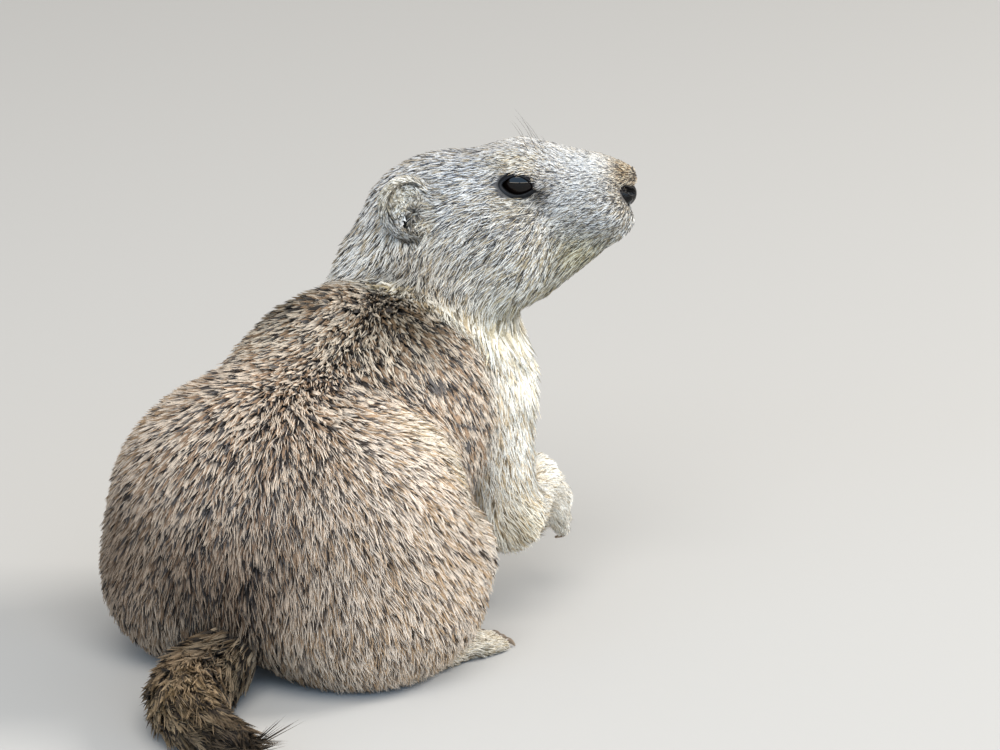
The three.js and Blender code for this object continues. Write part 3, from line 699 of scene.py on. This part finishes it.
tones = np.tile(np.concatenate([np.repeat(share, CLAW_SIDES), [0, 1]]), len(claws))[:, None]
claws = new_piece("claws", *stacked(claws))
paint(claws, linear("2b211a") * (1 - tones) + linear("8a7660") * tones)

# Horn: slightly glossy, with fine growth lines that run to the point.
claw_finish, shader = new_finish("claw horn", Roughness=0.35, IOR=1.54)
marking = add_node(claw_finish, "ShaderNodeAttribute", {"attribute_name": "marking"})
where = add_node(claw_finish, "ShaderNodeTexCoord")
lines = add_node(claw_finish, "ShaderNodeTexNoise", Vector=where.outputs["Object"], Scale=1500.0, Detail=2.0)
bump = add_node(claw_finish, "ShaderNodeBump", Height=lines.outputs["Fac"], Strength=0.2, Distance=0.0002)
set_sockets(shader, Base_Color=marking.outputs["Color"], Normal=bump.outputs["Normal"])
claws.data.materials.append(claw_finish)
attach(claws, "root")

# Coat: guard hairs over wool, here in fine closed locks that taper to a point. Each is rooted just
# under the skin, lies along the body and draws together with its neighbours as real hairs do.

# By form: length and width in mm, locks to a square mm, how far dark hairs outnumber pale ones, then
# the four hair colours that are mixed through it: pale tips, tan tips, slate hairs and dark roots.

COAT = {
    "rump": (5.6, 0.42, 3.4, 0.4, "f0dac2 b08f72 68625f 211a17"),
    "back": (5.6, 0.40, 3.5, 0.2, "f7e5cf bd9f80 7a7470 2b2320"),
    "shoulders": (6.6, 0.27, 4.8, 0.3, "f8e8d0 ba9c78 625a50 1a1510"),
    "neck": (6.8, 0.27, 4.4, 0.5, "f7efdf b8a482 625f5f 1a1613"),
    "haunch": (5.7, 0.36, 3.7, 0.1, "feead4 cfae89 8b7c6f 3a2e25"),
    "knee": (6.4, 0.42, 2.7, 0.2, "f7ead9 cdb393 8f8581 40362f"),
    "upper_arm": (6.6, 0.27, 4.3, 0.0, "fffdf3 ecd6b2 b8a68e 68563a"),
    "forearm": (5.5, 0.28, 3.8, 0.0, "fffdf6 f3e4c8 ccbea9 857456"),
    "forearm_fringe": (8.5, 0.30, 3.4, 0.3, "ffedcd d3ae79 8f784e 46351d"),
    "skull": (4.6, 0.26, 7.2, 0.9, "f3f4f6 b9af9f 7f858f 2b2c32"),
    "muzzle": (2.6, 0.20, 9.5, 0.2, "fbf9f5 e8e0d3 bdbcbd 6b6763"),
    "nose_fur": (1.6, 0.16, 11.0, 0.6, "cdb995 94794f 5f4f3a 2b231b"),
    "jaw": (4.6, 0.26, 7.0, 0.8, "f9f3e2 c6b48a 7f7a6b 302b22"),
    "cheek": (5.4, 0.27, 6.8, 0.8, "fffaf0 cdbb9a 85827f 292522"),
    "brow": (3.6, 0.24, 8.0, 0.6, "fafafb c3b49c 888a96 303238"),
    "whisker_pad": (2.7, 0.20, 9.5, 0.8, "fcfcfb cabfac 8b8b8f 35332f"),
    "lid": (1.5, 0.16, 10.0, 0.4, "f3e8d4 bfa881 857c6d 3d362b"),
    "ear": (1.5, 0.17, 9.5, 0.4, "f3eee2 c6b89b 8f8c83 3d3933"),
    "tail": (13.0, 0.50, 2.9, 0.4, "b39a78 86704f 5a4c3c 241d18"),
    "tail_tip": (15.0, 0.50, 3.1, 0.4, "5a4c3c 463b30 2e2721 14100e"),
    "hand": (3.4, 0.20, 8.6, 0.1, "faf6ed eadfcb cdc0ab 8f8169"),
    "finger": (2.1, 0.17, 11.0, 0.2, "f8f3e8 e2d5be b6a892 6d604c"),
    "foot": (3.2, 0.24, 5.5, 0.2, "f8f1e3 dcceb4 aa9d89 766a57"),
    "toe": (2.2, 0.19, 7.5, 0.2, "f3ebdb d6c7ac a39681 72664f"),
}

# Markings: the place in the head's or body's own axes, the reach, the four colours, how strong they
# are and how much longer the hair is there. Some are painted shade or a painted highlight, as said
# beside them. They lie on both sides alike, save for one of the body's, a painted shade on the left.
HEAD_MARKINGS = [
    ((24, 4, 5), (13, 10, 6), "fbf9f5 eee7da cbc9c9 8f8b85", 0.85, 1.0),  # white bridge of the muzzle
    ((35.5, 3, 2), (5, 8, 5), "ecd8b4 ba986c 836d4f 42362a", 0.95, 0.9),  # brown fur over the nose
    ((33, 7, -9), (4, 5, 7), "d5c8ae a08a66 6a5f50 2c261f", 0.7, 0.9),  # and behind the nostril
    ((23, 6, -23), (10, 9, 6), "ede3bf b8a675 7c745e 3a3524", 0.85, 1.3),  # ochre chin
    ((0, 19, 7), (9, 8, 3.5), "f8eedb ccb48a 988f81 544b3c", 0.7, 1.0),  # tan ring over the eye
    ((0, 21, -8), (9, 6, 3.5), "f4ebd8 c4b08c 8f8a82 4c453b", 0.6, 1.0),  # and under it
    ((8, 19, -4), (3.8, 6, 2.8), "4a443d 2c2825 191716 080707", 0.95, 0.6),  # dark tear streak
    ((-36.5, 28, -11.5), (3.2, 7, 5.5), "5d5040 362d23 1e1915 0a0806", 1.0, 0.6),  # painted shade in the ear canal
    ((-42, 27, -4), (4.5, 5, 4.5), "fffaee e6d9bf b9ad97 877c68", 0.8, 0.8),  # cream upper part of the ear
    ((-38, 27, 2.5), (9, 6, 2.4), "fffaf0 eadfca c0b5a0 8a7f6c", 0.8, 1.0),  # its cream rim
    ((-31, 28, -12), (3, 5, 4), "fff3d8 cdb283 8d7a58 4f422c", 0.85, 1.2),  # tuft in front of the canal
    ((-44, 26, -14), (4, 5, 4), "c6cbd4 94969b 62666e 2f3238", 0.7, 0.9),  # slate back of the ear
    ((-44, 31, -31), (10, 12, 12), "8f8a80 574f46 31302e 0b0a09", 1.0, 1.1),  # painted shadow under the overhang of the cheek
    ((-53, 14, -22), (13, 16, 12), "fbf9f4 cbbda4 8f8d8b 37322c", 0.85, 1.15),  # pale nape
    ((-40, 31, -36), (8, 9, 4), "fffaea dccca6 9a8f7c 42382a", 0.9, 1.7),  # cream fringe of the cheek
    ((-27, 33, -41), (9, 10, 4), "fffcee e0d0aa a1967f 463c2a", 0.9, 1.8),
    ((-12, 25, -45), (10, 10, 5), "fffef2 e4d5b2 aa9f88 50462e", 0.9, 1.8),
    ((0, 16, -40), (10, 10, 6), "fcf7e8 d8c99f 978d74 463d28", 0.8, 1.5),
]
BODY_MARKINGS = [
    ((-18, -35, 108), (18, 19, 14), "8c8170 56452f 2b2722 0a0807", 1.0, 1.1),  # dark neck
    ((-14, -14, 103), (16, 14, 12), "e6d8c0 9b8062 585048 1c1610", 0.5, 1.0),  # dark saddle
    ((-34, -84, 92), (17, 15, 18), "fdfaf0 f3e9d0 ddd2b9 a4987b", 0.95, 1.9),  # cream throat
    ((-24, -104, 62), (24, 22, 28), "fffffd fdf7e8 efe8d8 c2b7a2", 0.95, 1.45),  # cream chest
    ((-43, -2, 86), (8, 9, 9), "fff3de dcc39a aa9678 6a573b", 0.75, 1.1),  # painted highlight: a pale stripe where the front edge of the thigh catches light
    ((-50, -14, 75), (8, 9, 10), "fff8e8 e8d3ad bcab8f 7a684a", 0.85, 1.1),
    ((-54, -22, 62), (8, 9, 10), "fff8e8 e8d3ad bcab8f 7a684a", 0.8, 1.1),
    ((-49, -60, 41), (9, 10, 9), "ecdfc2 b0966a 857760 453a26", 0.7, 1.3),  # ochre elbow
    ((-6, 60, 38), (42, 25, 32), "8c745e 5a4332 312c2b 0e0b0a", 0.95, 1.0),  # dark brown rump, darkened further by painted shade
    ((-4, 50, 12), (40, 20, 14), "8f8068 5b4c3a 3d3935 14110e", 0.6, 1.1),  # dusky seat, dark fur darkened further by painted shade low down
    ((44, 44, 42), (23, 26, 38), "8a745f 554030 342f2e 0f0c0a", 0.95, 1.0),  # painted shade on the left alone, darker than the right
]


def in_head_frame(places):
    return (places - HEAD_AT) @ HEAD_AXES.T


# The way that hair points, where one way does for a whole form: on the head ahead, outwards and up,
# on the body along its own axes.
HEAD_LIES = {
    "skull": (-1, 0.1, -0.3), "brow": (-1, 0.2, 0.1), "lid": (-1, 0, 0), "nose_fur": (-1, 0.2, 0),
    "muzzle": (-1, 0.1, -0.1), "whisker_pad": (-0.85, 0.3, -0.45), "jaw": (-0.8, 0.1, -0.6),
    "cheek": (-0.75, 0.1, -0.72),
}
BODY_LIES = {
    "neck": (0, 0.25, -1), "haunch": (0, -0.4, -1), "knee": (0, -0.4, -1), "forearm_fringe": (0, -0.5, -1),
}
EAR_PARTING = -36.5, 25, -11  # hair of the ear turns outwards from here, and round its rim beyond
PARTING_REACH = 5.5


def lie_of(name, run, places):
    """Which way the hair of a form points, before it is laid on the skin."""
    if name in HEAD_LIES:
        ahead, left, up = HEAD_LIES[name]
        outward = np.clip(in_head_frame(places)[:, 1] / 8, -1, 1)
        ways = np.stack([np.full(len(places), ahead), left * outward, np.full(len(places), up)], 1)
        return toward(ways @ HEAD_AXES)
    if name == "ear":
        local = in_head_frame(places)
        outward = np.sign(local[:, 1])
        ahead, left, up = EAR_PARTING
        gap = np.stack([local[:, 0] - ahead, local[:, 1] - outward * left, local[:, 2] - up], 1)
        near = np.exp(-((np.hypot(gap[:, 0], gap[:, 2]) / PARTING_REACH) ** 2))[:, None]
        round_rim = toward(np.stack([EAR_AT[2] - local[:, 2], outward * 0.5, local[:, 0] - EAR_AT[0]], 1))
        return toward((toward(gap) * near + round_rim * (1 - near)) @ HEAD_AXES)
    level = np.ones(len(places))
    out = np.clip(np.abs(places[:, 0]) / 45, 0, 1)
    if name == "rump":
        return toward(np.stack([0.3 * np.clip(places[:, 0] / 45, -1, 1), 0.5 - 0.8 * out, -level], 1))
    if name in ("back", "shoulders"):
        return toward(np.stack([0.35 * np.clip(places[:, 0] / 30, -1, 1), 0.85 - 0.3 * out, -0.7 * level], 1))
    return toward(np.tile(BODY_LIES.get(name, run), (len(places), 1)))  # on limbs and tail, as they run


NEAR = 4.0  # how far the coat of one form runs into the next
TRAITS, TONES, LIE = slice(0, 5), slice(5, 17), slice(17, 20)  # columns of what is mixed


def colours_of(codes):
    return [linear(code) for code in codes.split()]


def coat_at(places):
    """Length, width, count, darkness and depth of the coat at places, its four colours and its lie."""
    total = np.zeros((len(places), 20))
    weight = np.full((len(places), 1), 1e-12)
    for name, (distance, _, _, run), _, depth in forms:
        length, width, count, dark, colours = COAT[name]
        share = np.exp(-np.clip(distance(*places.T) + depth, -20, 60) / NEAR)[:, None]
        close = share[:, 0] > 1e-5
        total[close, TRAITS] += share[close] * np.array([length, width, count, dark, depth])
        total[close, TONES] += share[close] * np.concatenate(colours_of(colours))
        total[close, LIE] += share[close] * lie_of(name, run, places[close])
        weight += share
    total /= weight
    local = in_head_frame(places)
    local[:, 1] = np.abs(local[:, 1])
    both = places.copy()
    both[:, 0] = -np.abs(both[:, 0])
    for markings, spots in ((HEAD_MARKINGS, local), (BODY_MARKINGS, both)):
        for centre, reach, colours, strength, longer in markings:
            left_shade_only = spots is both and centre[0] > 20  # far out on the left: the painted shade on that side alone
            gap = ((places if left_shade_only else spots) - centre) / reach
            share = strength * np.exp(-(gap**2).sum(1))[:, None]
            total[:, TONES] += share * (np.concatenate(colours_of(colours)) - total[:, TONES])
            total[:, :1] *= 1 + share * (longer - 1)
            total[:, 4:5] *= 1 + share * (longer - 1) * 0.8  # longer hair also stands a little deeper
    return total[:, TRAITS].T, total[:, TONES].reshape(-1, 4, 3), toward(total[:, LIE])


# Locks are strewn over the faces of the skin, by the area and count of each, few where it is sat on.
SAT_ON = 0.15  # the share of locks left there
rng = np.random.default_rng(11)
corners = skin_places[skin_quads]
spans = corners[:, 2] - corners[:, 0], corners[:, 3] - corners[:, 1]
quad_area = np.linalg.norm(np.cross(*spans), axis=1) / 2
quad_middle = corners.mean(1)
(_, _, quad_count, _, _), _, _ = coat_at(quad_middle)
quad_up = toward(np.cross(*spans))[:, 2]
under = (quad_middle[:, 2] < 4) & (quad_up < -0.3)
quad_odds = quad_area * quad_count * np.where(under, SAT_ON, 1)
LID_EDGE, NOSE_EDGE, CANAL_EDGE = 1.15, 0.15, 0.5  # how far beyond each of them the hair starts
CHEEK_OUT = 6  # the lids are all farther than this from the head's mid-line


def bare(places):
    """True in the eye sockets and on the lid rims, on the nose and in the ear canals."""
    local = in_head_frame(places)
    found = (past_lids(local[:, 0], local[:, 2]) < LID_EDGE) & (np.abs(local[:, 1]) > CHEEK_OUT)
    found |= measured(*places.T, nose_forms) < NOSE_EDGE
    for side in SIDES.values():
        found |= ear_canal(side)[0](*places.T) < CANAL_EDGE
    return found


COAT_LOCKS = 372000  # of four triangles each, just under one and a half million in all
locks = COAT_LOCKS // 1
chosen = rng.choice(len(skin_quads), locks, p=quad_odds / quad_odds.sum())
a, b = rng.random((2, locks, 1))  # each root's place between the corners of its face
c = corners[chosen]
roots = (c[:, 0] * (1 - a) + c[:, 1] * a) * (1 - b) + (c[:, 3] * (1 - a) + c[:, 2] * a) * b
roots = roots[~bare(roots)]
here, slope = slope_of(roots, hide)
normals = toward(slope)
roots = roots - np.clip(here, -0.8, 0.8)[:, None] * normals
(length, width, _, dark, depth), palette, lie = coat_at(roots)
count = len(roots)

# Neighbours share a clump, whose own draw sways it, lengthens it and sets its colour.
PER_CLUMP = 5
seeds = rng.permutation(count)[: count // PER_CLUMP]
tree = KDTree(len(seeds))
for i, seed in enumerate(seeds):
    tree.insert(roots[seed], i)
tree.balance()
clump = np.array([tree.find(place)[1] for place in roots])
seed_of = seeds[clump]
clump_draw = rng.random((len(seeds), 5))[clump]
own_draw = rng.random((count, 7))

# Two in five are guard hairs, longer, finer and paler, over a wool that is darker and lies flat.
guard = own_draw[:, 6] < 0.4
bunch = np.clip((width - 0.2) / 0.24, 0.12, 1)  # fine hair draws together less
across = toward(np.cross(lie, normals))
lie = toward(np.cross(normals, across))
sway = (clump_draw[:, :1] - 0.5) * 0.7 + (own_draw[:, :1] - 0.5) * 0.5
lie = toward(lie + across * sway)
across = toward(np.cross(lie, normals))
length = length * (0.65 + 0.35 * clump_draw[:, 1] + 0.4 * own_draw[:, 1]) * np.where(guard, 1.25, 0.8)
stand = depth * (0.55 + 0.4 * clump_draw[:, 2] + 0.35 * own_draw[:, 2]) * np.where(guard, 1.15, 0.7)
width = width * np.where(guard, 0.85, 1.15)


def at_height(places, height):
    gap = flesh(*places.T) - height
    return places - np.clip(gap, -6, 6)[:, None] * normals


PULL = 0.72  # how far tips of a clump are drawn to its middle one
ROOT_DEPTH = 0.35
FLOOR_TOUCH = 0.3  # the lowest that hair lies over the floor
tip = at_height(roots + lie * length[:, None] + normals * stand[:, None], stand)
tip = tip + (tip[seed_of] - tip) * (PULL * bunch * (0.4 + 0.8 * own_draw[:, 3]))[:, None]
sunk = roots - normals * ROOT_DEPTH
middle = at_height(sunk * 0.6 + tip * 0.4 + normals * stand[:, None] * 0.1, stand * 0.58)
for places in (middle, tip):
    places[:, 2] = np.maximum(places[:, 2], FLOOR_TOUCH)
rise = ((middle - sunk * 0.6 - tip * 0.4) * normals).sum(1)
middle += normals * np.maximum(0.06 - rise, 0)[:, None]

# Each clump draws one of the four colours, and its hairs stray from it now and then.
draw = np.where(own_draw[:, 5] < 0.7 * bunch, clump_draw[:, 4], own_draw[:, 5] * 7.57 % 1)
draw = 1 - (1 - draw) ** (1 + dark)
GUARD_SHARES, WOOL_SHARES = [0.60, 0.84, 0.95], [0.18, 0.46, 0.78]  # where the next colour starts
kind = np.where(guard, np.searchsorted(GUARD_SHARES, draw), np.searchsorted(WOOL_SHARES, draw))
picked = palette[np.arange(count), kind]
tone = 0.80 + 0.22 * clump_draw[:, 3] + 0.22 * own_draw[:, 4]
tip_colour = picked * tone[:, None]
dark_root = palette[:, 3]
paler = (0.5 - 0.2 * bunch)[:, None]
middle_colour = tip_colour * paler + dark_root * (1 - paler)
root_colour = dark_root * (0.5 + 0.5 * own_draw[:, 3:4])

# A lock is a thin closed wedge of four places: root, the two sides of its middle, and tip.
half = (width / 2)[:, None]
points = np.stack([sunk, middle - across * half, middle + across * half, tip], 1)
colours = np.stack([root_colour, middle_colour, middle_colour, tip_colour], 1)
facing = np.stack([normals, normals - across * 0.5, normals + across * 0.5, normals], 1)
facing = facing / np.linalg.norm(facing, axis=2, keepdims=True)
LOCK_FACES = np.array([(0, 2, 1), (1, 2, 3), (0, 1, 3), (0, 3, 2)])

# Hair: keratin with a soft sheen, each lock a little lighter and darker along its hairs.
coat_finish, shader = new_finish("guard hair", Roughness=0.6, IOR=1.55, Specular_IOR_Level=0.25)
marking = add_node(coat_finish, "ShaderNodeAttribute", {"attribute_name": "marking"})
where = add_node(coat_finish, "ShaderNodeTexCoord")
strands = add_node(coat_finish, "ShaderNodeTexNoise", Scale=1500.0, Detail=1.0)
set_sockets(strands, Vector=where.outputs["Object"])
shade = add_node(coat_finish, "ShaderNodeMapRange", n1=0.3, n2=0.7, n3=0.78, n4=1.15)
set_sockets(shade, n0=strands.outputs["Fac"])
toned = add_node(coat_finish, "ShaderNodeVectorMath", {"operation": "MULTIPLY"}, n0=marking.outputs["Color"])
set_sockets(toned, n1=shade.outputs["Result"])
set_sockets(shader, Base_Color=toned.outputs["Vector"])

# The coat is parted where a furrier would part it, each part unrolled round its own middle line.
# A lock's patch on that flat pattern lies at its root's place, evened out so that they spread.
TORSO, HEAD, TAIL, ARM, FOOT, EAR = range(6)
PART_OF = {
    "rump": TORSO, "back": TORSO, "shoulders": TORSO, "neck": TORSO, "haunch": TORSO, "knee": TORSO,
    "tail": TAIL, "tail_tip": TAIL, "upper_arm": ARM, "forearm": ARM, "forearm_fringe": ARM, "hand": ARM,
    "finger": ARM, "foot": FOOT, "toe": FOOT, "ear": EAR,
}
nearest = np.argmin([distance(*roots.T) + depth for _, (distance, *_), _, depth in forms], axis=0)
part_of_lock = np.array([PART_OF.get(name, HEAD) for name, *_ in forms])[nearest]


def arm_line(side):
    return [shoulder(side), elbow(side), wrist(side), hand_place(side, 12, 0, 2)]


PARTS = [  # name, slot, part, and the middle line of one side or of the whole
    ("back", "coat_brown", TORSO, lambda side: [PELVIS, LOIN, CHEST, NECK]),
    ("head", "coat_grey", HEAD, lambda side: [SKULL_BASE, in_head(0, 0, -10), in_head(28, 0, -8)]),
    ("tail", "coat_dark", TAIL, lambda side: tail_line),
    ("arms", "coat_pale", ARM, arm_line),
    ("feet", "coat_pale", FOOT, lambda side: [foot_place(side, 0, 0, 6), foot_place(side, 40, 0, 4)]),
    ("ears", "coat_grey", EAR, lambda side: [ear_at(side, 0, -1, 0), ear_at(side, 0, 3, 0)]),
]
PIECE_LOCKS = 48800  # so that a piece stays under 200,000 triangles
PATCH = 0.0034  # how long a lock's patch is, of a pattern 1 wide


def unrolled(places, line):
    """Turn about a bent middle line, 0 to 1, and way along it in mm, running on past its ends."""
    line = np.array(line, float)
    runs = np.diff(line, axis=0)
    reach = np.linalg.norm(runs, axis=1)
    best, turn, along = np.full(len(places), 1e9), np.zeros(len(places)), np.zeros(len(places))
    for i, run in enumerate(runs / reach[:, None]):
        ahead = (places - line[i]) @ run
        low = -1e9 if i == 0 else 0
        high = 1e9 if i == len(runs) - 1 else reach[i]
        held = np.clip(ahead, 0, reach[i])
        away = places - line[i] - held[:, None] * run
        far = np.linalg.norm(away, axis=1)
        first = toward(np.cross(run, [[0.35, 0.0, 0.94]]))
        second = np.cross(run, first)
        angle = np.arctan2(away @ first[0], away @ second[0])
        closer = far < best
        best[closer] = far[closer]
        turn[closer] = (angle / (2 * np.pi) + 0.5)[closer]
        along[closer] = (reach[:i].sum() + np.clip(ahead, low, high))[closer]
    return turn, along


def pattern_place(turn, along):
    """The middle of each lock's own patch on a square pattern, in the order of turn and way along."""
    columns = int(np.ceil(np.sqrt(len(turn))))
    column = np.empty(len(turn), int)
    column[np.argsort(turn, kind="stable")] = np.arange(len(turn)) * columns // len(turn)
    order = np.lexsort((along, column))
    first = np.searchsorted(column[order], np.arange(columns))
    tall = np.bincount(column, minlength=columns)
    row = np.empty(len(turn))
    row[order] = (np.arange(len(turn)) - first[column[order]] + 0.5) / tall[column[order]]
    return np.stack([(column + 0.5) / columns, row], 1)


def lock_piece(name, picks, places):
    faces = (np.arange(len(picks))[:, None, None] * 4 + LOCK_FACES[None]).reshape(-1, 3)
    piece = new_piece(name, points[picks].reshape(-1, 3), faces)
    piece.data.normals_split_custom_set_from_vertices(facing[picks].reshape(-1, 3))
    paint(piece, colours[picks].reshape(-1, 3))
    corner = np.array([(0, -0.5), (-0.42, 0.05), (0.42, 0.05), (0, 0.5)]) * PATCH
    spots = (places[:, None] + corner)[:, LOCK_FACES].reshape(-1, 2)
    pattern = piece.data.uv_layers.new(name="OFBake")
    pattern.data.foreach_set("uv", spots.astype(np.float32).ravel())
    piece.data.materials.append(coat_finish)
    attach(piece, "root")


for name, slot, part, line_of in PARTS:
    picks = np.flatnonzero(part_of_lock == part)
    if part in (ARM, FOOT, EAR):
        turn, along = np.empty(len(picks)), np.empty(len(picks))
        for half_of_pattern, side in enumerate(SIDES.values()):
            mine = roots[picks, 0] * side > 0 if part != EAR else in_head_frame(roots[picks])[:, 1] * side > 0
            turn[mine], along[mine] = unrolled(roots[picks[mine]], line_of(side))
            turn[mine] = (turn[mine] + half_of_pattern) / 2
    else:
        turn, along = unrolled(roots[picks], line_of(0))
    order = np.argsort(along, kind="stable")
    pieces = int(np.ceil(len(picks) / PIECE_LOCKS))
    for number, chunk in enumerate(np.array_split(order, pieces)):
        title = f"coat_{name}" + (f"_{number + 1}" if pieces > 1 else "")
        lock_piece(title, picks[chunk], pattern_place(turn[chunk], along[chunk]))

# Underfur: the hide's own wool, in the coat's dark root colours. It is bare close to the eyes and in
# the ear canals: black lid skin by the eyes, and painted shade, black, in the canals.
skin_finish = coat_finish.copy()
skin_finish.name = "underfur"
_, palette, _ = coat_at(skin_places)
local = in_head_frame(skin_places)
past = past_lids(local[:, 0], local[:, 2])
lid_black_and_canal_shade = np.exp(-(np.maximum(past, 0) / 1.4) ** 4) * (np.abs(local[:, 1]) > CHEEK_OUT)
# Painted shade: the skin in and round each ear canal goes black.
for side in SIDES.values():
    past = ear_canal(side)[0](*skin_places.T)
    lid_black_and_canal_shade = np.maximum(lid_black_and_canal_shade, np.exp(-(np.maximum(past, 0) / 1.2) ** 2))
lid_black_and_canal_shade = lid_black_and_canal_shade[:, None]
wool = palette[:, 3] * 0.6 + palette[:, 2] * 0.2
# The wool, black lid skin by the eyes and painted shade in the ear canals.
paint(skin, wool * (1 - lid_black_and_canal_shade) + linear("0c0b0b") * lid_black_and_canal_shade)
skin.data.materials.append(skin_finish)
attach(skin, "root")
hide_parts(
    "head", "neck", "torso", "tail", "ear_left", "ear_right", "foreleg_left", "foreleg_right",
    "forepaw_left", "forepaw_right", "hindleg_left", "hindleg_right", "hindfoot_left", "hindfoot_right",
)

# Whiskers: stiff black bristles in rows on the whisker pads, fewer over the eye, on the cheek and
# under the chin. Each is one tapered hair, curved back and down by its own weight.

whisker_rng = np.random.default_rng(5)
hairs = []  # root on the skin, way it points and length, in the head's own axes
for side in SIDES.values():
    for row, (up, count, longest) in enumerate([(-6.5, 4, 20), (-9, 5, 26), (-11.5, 5, 28), (-14, 4, 22)]):
        for i in range(count):
            ahead = 33 - 3.2 * i - row * 0.7
            reach = longest * (0.45 + 0.55 * i / count) * whisker_rng.uniform(0.8, 1.1)
            hairs.append(((ahead, side, up), (-0.55, side * 0.75, 0.1 - 0.18 * row), reach, 0.11))
    for ahead, up, reach in [(6, 9.5, 20), (8.5, 9, 16), (3, 10, 13), (11, 8, 9)]:
        hairs.append(((ahead, side, up), (-0.3, side * 0.35, 0.95), reach, 0.11))
    for ahead, up, reach in [(-6, -30, 11), (2, -28, 12), (12, -24, 9)]:
        hairs.append(((ahead, side, up), (-0.3, side * 0.35, -0.85), reach, 0.08))
share = np.linspace(0, 1, 9)[:, None]
whiskers = []
for (ahead, side, up), way, reach, radius in hairs:
    left = skin_left_of(side, np.array([float(ahead)]), np.array([float(up)]))[0]
    root = np.array([ahead, side * left, up])
    way = np.array(way) / np.linalg.norm(way)
    way = way + whisker_rng.normal(0, 0.08, 3)
    path = root + way * reach * (share - 0.04) + np.array([-0.12, 0, -0.16]) * reach * share**2
    whiskers.append(tube(HEAD_AT + path @ HEAD_AXES, radius * (1.05 - share[:, 0]), 4))
whiskers = new_piece("whiskers", *stacked(whiskers))

# Whisker keratin: glossy black that thins to brown in places.
whisker_finish, shader = new_finish("whisker keratin", Roughness=0.4, IOR=1.55)
where = add_node(whisker_finish, "ShaderNodeTexCoord")
along = add_node(whisker_finish, "ShaderNodeTexNoise", Vector=where.outputs["Object"], Scale=300.0)
ramp = add_node(whisker_finish, "ShaderNodeValToRGB", Fac=along.outputs["Fac"])
ramp.color_ramp.elements[0].color = colour_of("17130f")
ramp.color_ramp.elements[1].color = colour_of("3d352c")
set_sockets(shader, Base_Color=ramp.outputs["Color"])
whiskers.data.materials.append(whisker_finish)
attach(whiskers, "root")

# Floor: a plain board, painted matt off-white, so wide that its edges stay out of the picture.

HALF = 6  # metres
floor_mesh = bpy.data.meshes.new("floor")
floor_corners = [(-HALF, -HALF, 0), (HALF, -HALF, 0), (HALF, HALF, 0), (-HALF, HALF, 0)]
floor_mesh.from_pydata(floor_corners, [], [(0, 1, 2, 3)])
floor = bpy.data.objects.new("floor", floor_mesh)
bpy.context.collection.objects.link(floor)
# Matt emulsion: pale and without shine, so that only soft shadows show on it.
floor_finish, _ = new_finish("matt emulsion", Base_Color=(0.41, 0.405, 0.395, 1), Roughness=0.8)
floor.data.materials.append(floor_finish)

# Camera: the photograph's own view, from behind the right haunch and a little above.

CAMERA_AT = OFFSET * 0.001 + (-1.01153, 1.61871, 0.6083)
camera_data = bpy.data.cameras.new("camera")
camera_data.lens = 216
camera_data.sensor_width = 36
camera = bpy.data.objects.new("camera", camera_data)
bpy.context.collection.objects.link(camera)
right, up, ahead = (-0.86603, -0.5, 0), (0.12941, -0.22414, 0.96593), (0.48296, -0.83652, -0.25882)
camera.matrix_world = Matrix([
    [right[i], up[i], -ahead[i], CAMERA_AT[i]] for i in range(3)
] + [[0, 0, 0, 1]])
bpy.context.scene.camera = camera

# Light: a warm soft panel before the animal, another high over the camera and, behind the camera, a
# broad blue screen over a thin bright strip, which the eye mirrors. The room is a pale warm white.


def panel(name, place, size, watts, colour):
    light = bpy.data.lights.new(name, "AREA")
    light.shape = "RECTANGLE"
    light.energy, light.size, light.size_y, light.color = watts, size[0], size[1], colour
    lamp = bpy.data.objects.new(name, light)
    lamp.location = place
    lamp.rotation_euler = (Vector((0, 0, 0.1)) - lamp.location).to_track_quat("-Z", "Y").to_euler()
    bpy.context.collection.objects.link(lamp)


panel("key", (-1.7, -1.6, 1.5), (1.0, 1.0), 77, (1, 0.965, 0.91))
panel("top", (-0.9, 1.4, 2.2), (2.0, 2.0), 70, (1, 0.95, 0.88))
panel("sky", (-1.6, 2.72, 1.35), (8.3, 1.84), 150, (0.36, 0.65, 1))
panel("cloud", (-1.68, 2.88, 0.4), (8.3, 0.145), 51, (1, 0.94, 0.84))
world = bpy.data.worlds.new("studio")
world.use_nodes = True
set_sockets(world.node_tree.nodes["Background"], Color=(1, 0.96, 0.9, 1), Strength=0.52)
bpy.context.scene.world = world
bpy.context.scene.view_settings.view_transform = "Standard"
